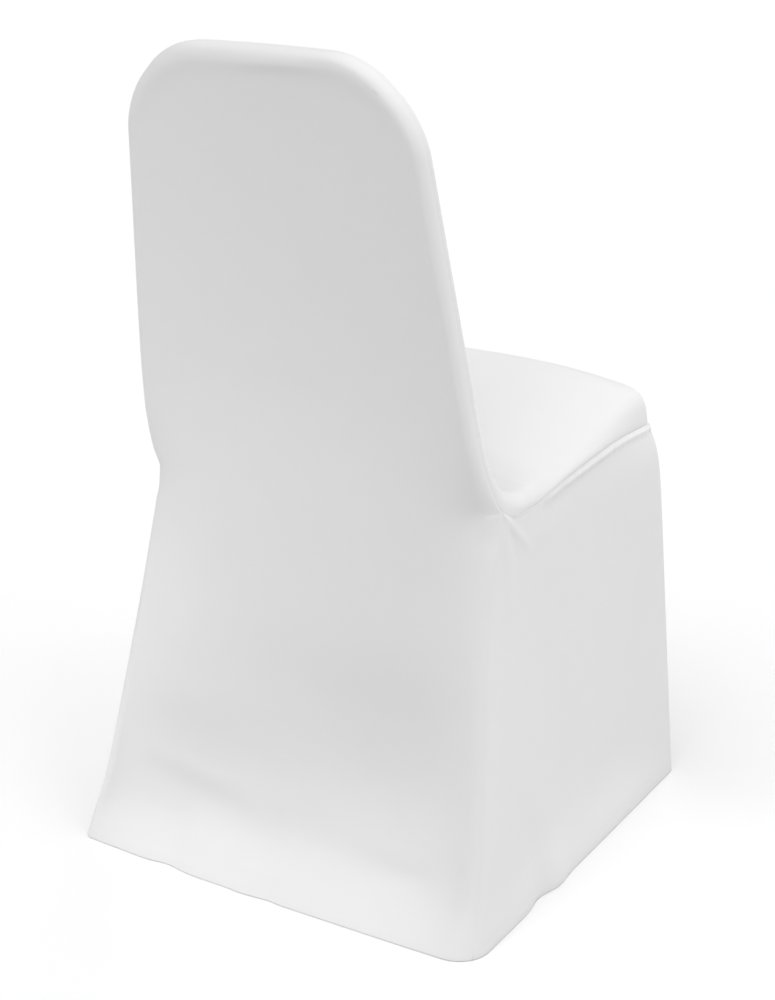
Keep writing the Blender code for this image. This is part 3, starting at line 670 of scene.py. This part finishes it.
rim_across = np.concatenate([np.full(len(back_run) - 1, -1.0), across, np.full(len(back_run) - 1, 1.0)])
rim_run = np.concatenate([back_run[:0:-1], np.zeros(len(across)), back_run[1:]])
rim_height = np.concatenate([back_height[:0:-1], np.ones(len(across)), back_height[1:]])
wraps = [rear_wrap(rim_across, rim_run, rim_height, share) for share in RING_SHARES]
back_seam = side_seam(rim_across, rim_run)
for side in (-1.0, 1.0):
    low = (rim_height < WAIST_Z) & (rim_across == side)
    for step, share in enumerate(RING_SHARES):
        wraps[step][low] = rear_wrap_near_waist(side, rim_height[low], share)
    back_seam[low] = rear_corner_seam(side, rim_height[low])
back_grid[1:, 0] = wraps[0][:len(back_run) - 1][::-1]
back_grid[0] = wraps[0][len(back_run) - 1:len(back_run) - 1 + len(across)]
back_grid[1:, -1] = wraps[0][-(len(back_run) - 1):]
inside_y = back_seam[:, 1] - INSIDE_AHEAD
inside = point(0.0, inside_y, np.minimum(back_seam[:, 2], INSIDE_TOP))
sewn_rings = sewn_edge(wraps[-1], back_seam, np.gradient(back_seam, axis=0), back_seam - inside,
                       seam_allowance(back_seam))
back_rim = np.concatenate([np.array(wraps), sewn_rings])

hem_row = lower_back_row(HEM_EDGE_Z)[0]
back_hem = turned_up(lambda height: lower_back_row(height)[0], inward_along(hem_row))

# Where the corner seams end at the waist, the cloth is pulled into short creases that fan out from there,
# less on the far side. Each runs from one x and z to another, and then has its width and height.
WAIST_SIDES = ((1, 1.0), (-1, 0.8))
WAIST_CREASES = (
    (-0.2085, 0.4430, -0.1960, 0.4420, 0.0022, 0.0011),
    (-0.2060, 0.4360, -0.1860, 0.4220, 0.0050, 0.0009),
)

# The stretched cloth stands in a full roll along the edge of the back, fullest under the top edge, where a
# shallow hollow lies below it.
BEAD_COLUMNS = ("z", "height", "middle", "outer_width", "inner_width")
BEAD = (
    (0.470, 0.0000, 0.0000, 0.0045, 0.0070),
    (0.560, 0.0008, 0.0005, 0.0045, 0.0080),
    (0.820, 0.0009, 0.0010, 0.0050, 0.0090),
    (0.895, 0.0022, 0.0060, 0.0070, 0.0110),
)
HOLLOW_X = -0.022
HOLLOW_SPREAD = 0.050
HOLLOW_BEAD = 0.0019
HOLLOW_NARROWER = 0.0045
HOLLOW_FROM = 0.85
HOLLOW_OVER = 0.03
BEAD_FADE_POWER = 3
rows_above = len(runs_above)
edge_line = np.concatenate([back_grid[rows_above - 1:0:-1, 0], back_grid[0], back_grid[1:rows_above, -1]])
edge_middle = (edge_line[:-1] + edge_line[1:]) / 2
edge_line = np.concatenate([edge_line, edge_middle])


def bead(points, inwards):
    """How far the roll lifts points of the back: a bell across the edge, by distance in from its line."""
    z = np.clip(points[..., 2], BEAD[0][0], BEAD[-1][0])
    heights = column(BEAD, BEAD_COLUMNS, "z")
    height, middle, outer, inner = [np.interp(z, heights, column(BEAD, BEAD_COLUMNS, name))
                                    for name in BEAD_COLUMNS[1:]]
    near_hollow = np.exp(-((points[..., 0] - HOLLOW_X) / HOLLOW_SPREAD) ** 2)
    near_hollow = eased((z - HOLLOW_FROM) / HOLLOW_OVER) * near_hollow
    height = height + HOLLOW_BEAD * near_hollow
    width = np.where(inwards > middle, inner - HOLLOW_NARROWER * near_hollow, outer)
    return height * np.exp(-((inwards - middle) / width) ** 2)


gaps = back_grid[..., None, :] - edge_line
from_edge = np.sqrt(np.min(np.sum(gaps * gaps, axis=-1), axis=-1))
back_lift = bead(back_grid, from_edge)
rim_lift = bead(back_rim[:1] + 0 * back_rim, -distances(back_rim))
for side, share in WAIST_SIDES:
    back_lift = back_lift + share * creases(WAIST_CREASES, side * back_grid[..., 0], back_grid[..., 2])
    rim_lift = rim_lift + share * creases(WAIST_CREASES, side * back_rim[..., 0], back_rim[..., 2])
rim_fade = np.zeros(len(back_rim))
rim_fade[:EDGE_RINGS + 1] = 1 - RING_SHARES ** BEAD_FADE_POWER
rim_lift = rim_lift * rim_fade[:, None]

back_cloth = polyester("white_polyester_back")
back_patches = [patch(back_grid, back_lift), patch(back_rim, rim_lift), patch(back_hem)]
back_panel = sewn_panel("back_panel_cloth", back_patches, (0, 1, 0), back_cloth)
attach(back_panel, "root")
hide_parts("back_panel")


# Front and seat panel. The inside of the back and the top of the seat are one piece of the polyester. It
# lies flat up the back, turns forward and is crowned over the seat. Its edge is drawn down to the side
# seam and sewn there.
BACK_EDGE = 0.0143
INNER_BACK_CROWN = 0.004
SEAT_EDGE = 0.016
SEAT_CROWN = 0.030
SEAT_CROWN_RISE = 0.035
SEAT_CROWN_POWER = 3.2
SEAT_BULGE_REAR = 0.002
SEAT_BULGE_FRONT = 0.007
SEAT_BULGE_FROM = 0.140
SEAT_BULGE_OVER = 0.220
SEAT_BLEND = 0.100
EDGE_BLEND_BEFORE = 0.060
FRONT_ACROSS = 120
FRONT_SEAT_ROWS = 104
INSIDE_FRONT = -0.16
RINGS_TO_SEAM = 3


def front_face(across, run, inset):
    """The inside of the back and the seat: the side profile, crowned towards the middle."""
    x, run = rounded(across, run, inset)
    seat = eased((run - WAIST_RUN) / SEAT_BLEND)
    dome = 1 - np.clip(np.abs(x) / section("half", run), 0, 1) ** SEAT_CROWN_POWER
    ends = np.sqrt(np.clip((WHOLE_RUN - run) / SEAT_CROWN_RISE, 0, 1))
    y = section("face_y", run) - (1 - seat) * INNER_BACK_CROWN * dome
    z = section("face_z", run) + seat * ends * SEAT_CROWN * dome
    return point(x, y, z)


# The stitching draws both panels level at the seat seam, so that the seat doesn't overhang it.
DRAW_OUT = 0.0030
DRAW_SPREAD = 0.0100
DRAW_FROM = 0.050
DRAW_OVER = 0.080
DRAW_SIDE_HALF = 0.18
DRAW_SIDE_POWER = 8
DRAW_FORWARD = 0.2
DRAW_FRONT_FROM = 0.19
DRAW_FRONT_OVER = 0.03


def drawn_out(seam, run, away):
    """How far points near the seat seam are moved level and outwards, away being their distance from it."""
    amount = DRAW_OUT * eased((run - WAIST_RUN - DRAW_FROM) / DRAW_OVER) * np.exp(-(away / DRAW_SPREAD) ** 2)
    at_side = np.clip(np.abs(seam[:, :1]) / DRAW_SIDE_HALF, 0, 1) ** DRAW_SIDE_POWER
    at_front = eased((-seam[:, 1] - DRAW_FRONT_FROM) / DRAW_FRONT_OVER)
    outward = unit(seam * [1.0, 0.0, 0.0] * at_side + point(0.0, -DRAW_FORWARD * at_front, 0.0))
    return outward * amount[..., None]


seat_runs = WAIST_RUN + (WHOLE_RUN - WAIST_RUN) * np.linspace(0, 1, FRONT_SEAT_ROWS + 1)
front_run = np.concatenate([runs_above, seat_runs[1:]])
across = np.linspace(1, -1, FRONT_ACROSS + 1)
grid_across, grid_run = np.meshgrid(across, front_run)
onto_seat = np.clip((grid_run - WAIST_RUN + EDGE_BLEND_BEFORE) / SEAT_BLEND, 0, 1)
grid_inset = BACK_EDGE + (SEAT_EDGE - BACK_EDGE) * onto_seat
front_grid = front_face(grid_across, grid_run, grid_inset)

up_one_side = np.arange(len(front_run) - 1, 0, -1)
down_the_other = np.arange(0, len(front_run))
rim_row = np.concatenate([up_one_side, np.zeros(len(across) - 1, int), down_the_other,
                          np.full(len(across) - 1, len(front_run) - 1)])
rim_place = np.concatenate([np.zeros(len(up_one_side), int), np.arange(len(across) - 1),
                            np.full(len(down_the_other), len(across) - 1),
                            np.arange(len(across) - 2, -1, -1)])
rim_across, rim_run = across[rim_place], front_run[rim_row]
edge = front_grid[rim_row, rim_place]
forward = eased((rim_run - WAIST_RUN - SEAT_BULGE_FROM) / SEAT_BULGE_OVER)
bulge = SEAT_BULGE_REAR + (SEAT_BULGE_FRONT - SEAT_BULGE_REAR) * forward
corner = front_face(rim_across, rim_run, -bulge * eased((rim_run - WAIST_RUN) / SEAT_BLEND))
front_seam = side_seam(rim_across, rim_run)
end = front_seam + unit(corner - front_seam) * EDGE_LIP
turns = np.linspace(0, QUARTER_TURN, EDGE_RINGS + 1)
wraps = np.array([elliptic(edge, corner, end, np.full(len(edge), degrees)) for degrees in turns])
along_seam = np.roll(front_seam, -1, axis=0)[:-1] - np.roll(front_seam, 1, axis=0)[:-1]
along_seam = np.concatenate([along_seam, along_seam[:1]])
inside_y = np.where(rim_run > WAIST_RUN, np.maximum(front_seam[:, 1], INSIDE_FRONT), front_seam[:, 1])
inside = point(0.0, inside_y, np.minimum(front_seam[:, 2], INSIDE_TOP))
sewn_rings = sewn_edge(wraps[-1], front_seam, along_seam, front_seam - inside, seam_allowance(front_seam))
front_rim = np.concatenate([wraps, sewn_rings])
past_edge = distances(front_rim)
above_seam = np.maximum(past_edge[EDGE_RINGS + RINGS_TO_SEAM] - past_edge, 0)
past_first_ring = 1 - (above_seam / above_seam[:1]) ** 2
front_rim = front_rim + drawn_out(front_seam, rim_run, above_seam) * past_first_ring[..., None]

front_cloth = polyester("white_polyester_front")
front_patches = [patch(front_grid), patch(front_rim)]
front_panel = sewn_panel("front_and_seat_cloth", front_patches, (0, -1, 1), front_cloth)
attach(front_panel, "root")
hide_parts("front_and_seat_panel")


# Skirt. One strip of the polyester goes round both sides and the front, from the seat seam to the floor.
# It stands out a little under the seat, falls nearly flat, and kicks out again at its turned-up hem. At
# the rear corners it is sewn to the back panel.
HEM_FRONT = -0.259
HEM_FRONT_NARROWING = 0.004
HEM_REAR_CORNER = 0.034
HEM_REAR_ARC_FROM = 60.0
CORNER_MIDDLE = 45.0
HEM_FRONT_CORNER = 0.014
BULGE_RISE = 0.020
HEM_KICK = 0.011
HEM_KICK_HEIGHT = 0.044
KICK_FROM_FRONT = 0.30
REAR_END_POWER = 3
SIDE_BULGE_SHARES = (0.00, 0.15, 0.55, 0.85, 1.00)
SIDE_BULGE = (0.000, 0.002, 0.005, 0.013, 0.017)
FRONT_BULGE = 0.010
CORNER_KEEP = 0.020
CORNER_EASE = 0.080
SKIRT_SIDE_COLUMNS = 140
SKIRT_FRONT_COLUMNS = 120
SKIRT_ROWS = 88
SKIRT_ROW_EASE = 1.5
SEAM_REACH = 0.0014
FIRST_ROW_REACHES = 1.5
ARC_POINTS = 40
STRAIGHT_POINTS = 60


def hem_front_corner(from_turn, to_turn):
    """The x and y of the hem round a stretch of its front corner, from one turn in degrees to another."""
    turn = np.radians(np.linspace(from_turn, to_turn, ARC_POINTS))
    x = HEM_HALF_WIDTH - HEM_FRONT_NARROWING - HEM_FRONT_CORNER * (1 - np.cos(turn))
    return x, HEM_FRONT + HEM_FRONT_CORNER * (1 - np.sin(turn))


def hem_outline(side):
    """The hem in plan from a rear corner seam to the middle of a front corner, as closely set points."""
    seam = rear_corner_seam(side, np.array([HEM_Z]))[0]
    radius = HEM_REAR_CORNER * corner_share(side, 0.0)
    turn = np.radians(np.linspace(HEM_REAR_ARC_FROM, QUARTER_TURN, ARC_POINTS))
    rear_x = HEM_HALF_WIDTH - radius * (1 - np.sin(turn))
    rear_y = seam[1] - radius * math.cos(math.radians(CORNER_MIDDLE)) + radius * np.cos(turn)
    front_x, front_y = hem_front_corner(0, CORNER_MIDDLE)
    straight = np.linspace(0, 1, STRAIGHT_POINTS)[1:-1]
    side_x = HEM_HALF_WIDTH - HEM_FRONT_NARROWING * straight ** 2
    side_y = rear_y[-1] + (front_y[0] - rear_y[-1]) * straight
    x = np.concatenate([[abs(seam[0])], rear_x, side_x, front_x])
    y = np.concatenate([[seam[1]], rear_y, side_y, front_y])
    return point(side * x, y, HEM_Z)


def front_hem_outline():
    """The hem in plan across the front, between the middles of the front corners."""
    x, y = hem_front_corner(CORNER_MIDDLE, QUARTER_TURN)
    straight = np.linspace(x[-1], -x[-1], STRAIGHT_POINTS)[1:-1]
    x = np.concatenate([x, straight, -x[::-1]])
    y = np.concatenate([y, np.full_like(straight, HEM_FRONT), y[::-1]])
    return point(x, y, HEM_Z)


def shares_of(line):
    """How far along a line of points each one lies, from 0 to 1."""
    run = distances(line)
    return run / run[-1]


def along(line, shares):
    """Points at given shares of a line's length."""
    own = shares_of(line)
    return np.stack([np.interp(shares, own, line[:, axis]) for axis in range(3)], axis=-1)


def round_skirt(side, front):
    """Values all round the skirt, from those of a side and of the front."""
    return np.concatenate([side, front[1:-1], side[::-1]])


skirt_runs = WAIST_RUN + (WHOLE_RUN - WAIST_RUN) * np.linspace(0, 1, SKIRT_SIDE_COLUMNS + 1)
front_across = np.linspace(1, -1, SKIRT_FRONT_COLUMNS + 1)
near_top = side_seam(np.ones_like(skirt_runs), skirt_runs)
front_top = side_seam(front_across, np.full_like(front_across, WHOLE_RUN))
far_top = side_seam(-np.ones_like(skirt_runs), skirt_runs)
side_share, front_share = shares_of(near_top), shares_of(front_top)
skirt_top = np.concatenate([near_top, front_top[1:-1], far_top[::-1]])
skirt_hem = np.concatenate([along(hem_outline(1.0), side_share),
                            along(front_hem_outline(), front_share)[1:-1],
                            along(hem_outline(-1.0), side_share)[::-1]])
side_bulge = through(np.array(SIDE_BULGE_SHARES), np.array(SIDE_BULGE), side_share)
front_bulge = FRONT_BULGE + (side_bulge[-1] - FRONT_BULGE) * (np.abs(front_share - 0.5) * 2) ** 2
skirt_bulge = round_skirt(side_bulge, front_bulge)
kick_share = round_skirt(eased((1 - side_share) / KICK_FROM_FRONT), 0 * front_share)
rear_ends = round_skirt((1 - side_share) ** REAR_END_POWER, 0 * front_share)
skirt_outward = -inward_along(skirt_hem)
top_length = distances(skirt_top)
hem_length = distances(skirt_hem)


def corner_beyond_seam(side, z, over):
    """The rear corner past its seam: the rest of the corner's turn, then straight on along the side."""
    low = np.minimum(z, WAIST_Z - SAME_PLACE)
    run = np.full_like(z, WAIST_RUN)
    edge, corner, end, turn = rear_corner_controls(np.full_like(z, side), run, low)
    radius = (np.linalg.norm(edge - corner, axis=-1) + np.linalg.norm(end - corner, axis=-1)) / 2
    past = EDGE_LIP + over
    angle = np.minimum(turn + np.degrees(past / radius), QUARTER_TURN)
    straight = past - np.radians(angle - turn) * radius
    return elliptic(edge, corner, end, angle) + unit(end - corner) * straight[..., None]


def skirt_rows(heights):
    """Rows of the skirt: each is the seat seam carried down to the hem, stood out, and turned at the corners.

    A height is that of the row at the rear corner: the other columns start from the seam above them.
    """
    drop = ((WAIST_Z - heights) / (WAIST_Z - HEM_Z))[:, None, None]
    face = skirt_top[None] + (skirt_hem - skirt_top)[None] * drop
    fall = drop * WAIST_Z
    swell = (1 - np.exp(-fall / BULGE_RISE)) * (1 - drop)
    kicked = 1 - np.exp(-((WAIST_Z - fall) / HEM_KICK_HEIGHT) ** 2)
    kick = HEM_KICK * kicked * drop * kick_share[None, :, None]
    kick = kick * (1 - rear_ends[None, :, None])
    face = face + skirt_outward[None] * (swell * skirt_bulge[None, :, None] - kick)
    length = top_length[None] + (hem_length - top_length)[None] * drop[..., 0]
    for side, place in ((1.0, 0), (-1.0, -1)):
        over = length if side > 0 else length[:, -1:] - length
        near = 1 - eased((over - CORNER_KEEP) / CORNER_EASE)
        turned = corner_beyond_seam(side, face[..., 2], over)
        seam = rear_corner_seam(side, heights)
        turned = turned + (seam - turned[:, place])[:, None, :] * np.exp(-over / CORNER_KEEP)[..., None]
        turned[..., 2] = face[..., 2]
        face = face + (turned - face) * near[..., None]
        face[:, place] = seam
    return face


first_fall = FIRST_ROW_REACHES * SEAM_REACH
row_shares = np.linspace(0, 1, SKIRT_ROWS) ** SKIRT_ROW_EASE
later_falls = first_fall + (WAIST_Z - HEM_EDGE_Z - first_fall) * row_shares
skirt_heights = WAIST_Z - np.concatenate([[0.0], later_falls])
skirt_grid = skirt_rows(skirt_heights)
top_edge = skirt_grid[0] + unit(skirt_grid[1] - skirt_grid[0]) * SEAM_REACH
top_along = np.gradient(skirt_grid[0], axis=0)
face_rows = np.concatenate([top_edge[None], skirt_grid[1:]])
side_stops = {}
corner_rims = []
for side, place, beside in ((1.0, 0, 1), (-1.0, -1, -2)):
    seam = skirt_grid[:, place]
    side_stops[side] = unit(skirt_grid[:, beside] - seam)
    edge = seam + side_stops[side] * SEAM_REACH
    rim = sewn_edge(edge, seam, np.gradient(seam, axis=0), seam * [1, 1, 0], seam_allowance(seam))
    face_rows[:, place] = face_rows[:, place] + side_stops[side] * SEAM_REACH
    corner_rims.append(np.concatenate([face_rows[None, :, place], rim]))
sewn_rings = sewn_edge(top_edge, skirt_grid[0], top_along, skirt_outward, seam_allowance(skirt_top))
top_rim = np.concatenate([face_rows[None, 0], sewn_rings])
top_rim[:, 0] = top_rim[:, 1]
top_rim[:, -1] = top_rim[:, -2]
skirt_hem_inward = inward_along(face_rows[-1])


def skirt_hem_row(height):
    """The skirt's row at a height close to the floor, with its ends drawn back from the corner seams."""
    row = skirt_rows(np.array([height]))[0]
    row[0] = row[0] + side_stops[1.0][-1] * SEAM_REACH
    row[-1] = row[-1] + side_stops[-1.0][-1] * SEAM_REACH
    return row


skirt_hem_fold = turned_up(skirt_hem_row, skirt_hem_inward)
skirt_hem_fold[0] = face_rows[-1]

# Below the seat seam the cloth rises in a soft roll that is puckered by the stitching, most towards the
# front of each side.
ROLL_BELOW = 0.0042
ROLL_WIDTH = 0.0036
ROLL_HEIGHT = 0.0022
ROLL_FADE = 0.003
ROLL_WAVE = 0.040
ROLL_WAVER = 0.25
ROLL_SEED = 5
GATHERED_LEAST = 0.30
GATHERED_FROM = 0.25
GATHERED_OVER = 0.30
PUCKER_HEIGHT = 0.00045
PUCKER_DEPTH = 0.011
PUCKER_WAVE = 0.011
PUCKER_STRETCHES = (0.71, 1.0, 1.62)
PUCKER_SHARE = 2.2
PUCKER_SWELL = 0.083
PUCKER_SWELL_SHARE = 0.45
PUCKER_SEED = 9
DRAWN_TURN = 6.28

# Creases fan out below the waist. Each runs from one y and z to another, and has its width and height.
CREASE_BELOW_SEAM = 0.004
CREASED_SIDE_FROM = 0.17
CREASED_SIDE_OVER = 0.02
SKIRT_CREASES = (
    (0.1340, 0.4440, 0.0840, 0.3960, 0.0050, 0.0021),
    (0.1280, 0.4250, 0.1230, 0.3500, 0.0085, 0.0018),
    (0.1050, 0.4360, 0.0500, 0.4320, 0.0090, -0.0016),
    (0.1250, 0.4400, 0.1050, 0.3850, 0.0035, -0.0009),
    (0.0400, 0.4000, -0.0400, 0.4150, 0.0120, 0.0007),
)


def puckers(run, seed, wave):
    """Irregular gathers along a seam, about 1 high: three waves whose lengths don't divide each other."""
    draw = np.random.default_rng(seed)
    total = 0.0
    for stretch in PUCKER_STRETCHES:
        phase = draw.uniform(0, DRAWN_TURN)
        total = total + np.sin(run / (wave * stretch) * 2 * math.pi + phase) / PUCKER_SHARE
    swell = np.sin(run / PUCKER_SWELL * 2 * math.pi + draw.uniform(0, DRAWN_TURN))
    return total * (1 - PUCKER_SWELL_SHARE + PUCKER_SWELL_SHARE * swell)


fallen = distances(face_rows)
side_run = np.minimum(top_length, top_length[-1] - top_length)
forward = eased((side_run / distances(near_top)[-1] - GATHERED_FROM) / GATHERED_OVER)
gathered = GATHERED_LEAST + (1 - GATHERED_LEAST) * forward
wavering = 1 - ROLL_WAVER + ROLL_WAVER * puckers(top_length, ROLL_SEED, ROLL_WAVE)
roll = ROLL_HEIGHT * gathered * wavering * np.exp(-((fallen - ROLL_BELOW) / ROLL_WIDTH) ** 2)
ripples = PUCKER_HEIGHT * gathered * puckers(top_length, PUCKER_SEED, PUCKER_WAVE)
ripples = ripples * np.exp(-(fallen / PUCKER_DEPTH) ** 2)
skirt_lift = (roll + ripples) * eased(fallen / ROLL_FADE)
on_side = eased((np.abs(face_rows[..., 0]) - CREASED_SIDE_FROM) / CREASED_SIDE_OVER)
fan = creases(SKIRT_CREASES, face_rows[..., 1], face_rows[..., 2])
skirt_lift = skirt_lift + fan * on_side * eased(fallen / CREASE_BELOW_SEAM)
skirt_lift = skirt_lift * eased(side_run / CREASE_BELOW_SEAM)
skirt_run = round_skirt(skirt_runs, np.full_like(front_share, WHOLE_RUN))
face_rows = face_rows + drawn_out(skirt_top, skirt_run, fallen)
top_rim = top_rim + drawn_out(skirt_top, skirt_run, 0 * top_rim[..., 0])

skirt_cloth = polyester("white_polyester_skirt")
skirt_patches = [patch(face_rows, skirt_lift), patch(top_rim), patch(corner_rims[0]), patch(corner_rims[1]),
                 patch(skirt_hem_fold)]
skirt = sewn_panel("skirt_cloth", skirt_patches, (0, -1, 0), skirt_cloth)
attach(skirt, "root")
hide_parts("skirt")


# Studio. A pale floor under a white sky, a wide soft light high behind the cover, weaker ones at its side
# and front, and a small panel of light low down at its left.
CAMERA_PLACE = (-1.1186, 1.8606, 1.1643)
CAMERA_PITCH = 70.115
CAMERA_YAW = 211.136
LENS_MM = 74.98
SKY_STRENGTH = 0.20
SKY_SEEN = 1.0
FLOOR_SIZE = 60.0
FLOOR_SEEN = 0.96
FLOOR_BOUNCE = 0.62
SENSOR_WIDTH_MM = 36.0

# Each lamp has its tilt and turn in degrees, its strength and its softness in degrees.
LAMPS = (
    ("rear light", 28.0, 165.0, 1.84, 70.0),
    ("side light", 64.0, 262.0, 0.86, 55.0),
    ("front light", 55.0, 335.0, 1.20, 80.0),
)
PANEL_PLACE = (0.80, 0.80, 0.20)
PANEL_AIM = (0.10, 0.15, 0.30)
PANEL_SIZE = 0.6
PANEL_WATTS = 1.6

for name, tilt, turn, strength, softness in LAMPS:
    lamp_data = bpy.data.lights.new(name, "SUN")
    lamp_data.energy = strength
    lamp_data.angle = math.radians(softness)
    lamp = put_in_scene(name, lamp_data)
    lamp.rotation_euler = (math.radians(tilt), 0.0, math.radians(turn))

panel_data = bpy.data.lights.new("left light panel", "AREA")
panel_data.energy = PANEL_WATTS
panel_data.size = PANEL_SIZE
panel = put_in_scene("left light panel", panel_data)
panel.location = PANEL_PLACE
panel.rotation_euler = (Vector(PANEL_PLACE) - Vector(PANEL_AIM)).to_track_quat("Z", "Y").to_euler()

world = bpy.data.worlds.new("studio")
bpy.context.scene.world = world
world.use_nodes = True
background = world.node_tree.nodes["Background"]
background.inputs["Color"].default_value = (1.0, 1.0, 1.0, 1.0)
is_seen = node(world.node_tree, "ShaderNodeLightPath").outputs["Is Camera Ray"]
sky = reckoned(world.node_tree, "MULTIPLY_ADD", is_seen, SKY_SEEN - SKY_STRENGTH, SKY_STRENGTH)
world.node_tree.links.new(sky, background.inputs["Strength"])

floor_data = bpy.data.meshes.new("studio_floor")
half_floor = FLOOR_SIZE / 2
floor_data.from_pydata([(-half_floor, -half_floor, 0), (half_floor, -half_floor, 0),
                        (half_floor, half_floor, 0), (-half_floor, half_floor, 0)], [], [(0, 1, 2, 3)])
floor = put_in_scene("studio_floor", floor_data)
paint = bpy.data.materials.new("studio_floor_paint")
paint.use_nodes = True
tree = paint.node_tree
tree.nodes.remove(tree.nodes["Principled BSDF"])
seen = node(tree, "ShaderNodeBsdfDiffuse", Color=(FLOOR_SEEN, FLOOR_SEEN, FLOOR_SEEN, 1.0))
bounced = node(tree, "ShaderNodeBsdfDiffuse", Color=(FLOOR_BOUNCE, FLOOR_BOUNCE, FLOOR_BOUNCE, 1.0))
is_seen = node(tree, "ShaderNodeLightPath").outputs["Is Camera Ray"]
mixed = node(tree, "ShaderNodeMixShader", _0=is_seen, _1=bounced.outputs[0], _2=seen.outputs[0])
tree.links.new(mixed.outputs[0], tree.nodes["Material Output"].inputs["Surface"])
floor_data.materials.append(paint)

lens = bpy.data.cameras.new("camera")
lens.lens = LENS_MM
lens.sensor_width = SENSOR_WIDTH_MM
camera = put_in_scene("camera", lens)
camera.location = CAMERA_PLACE
camera.rotation_euler = (math.radians(CAMERA_PITCH), 0.0, math.radians(CAMERA_YAW))
bpy.context.scene.camera = camera
bpy.context.scene.view_settings.view_transform = "Standard"
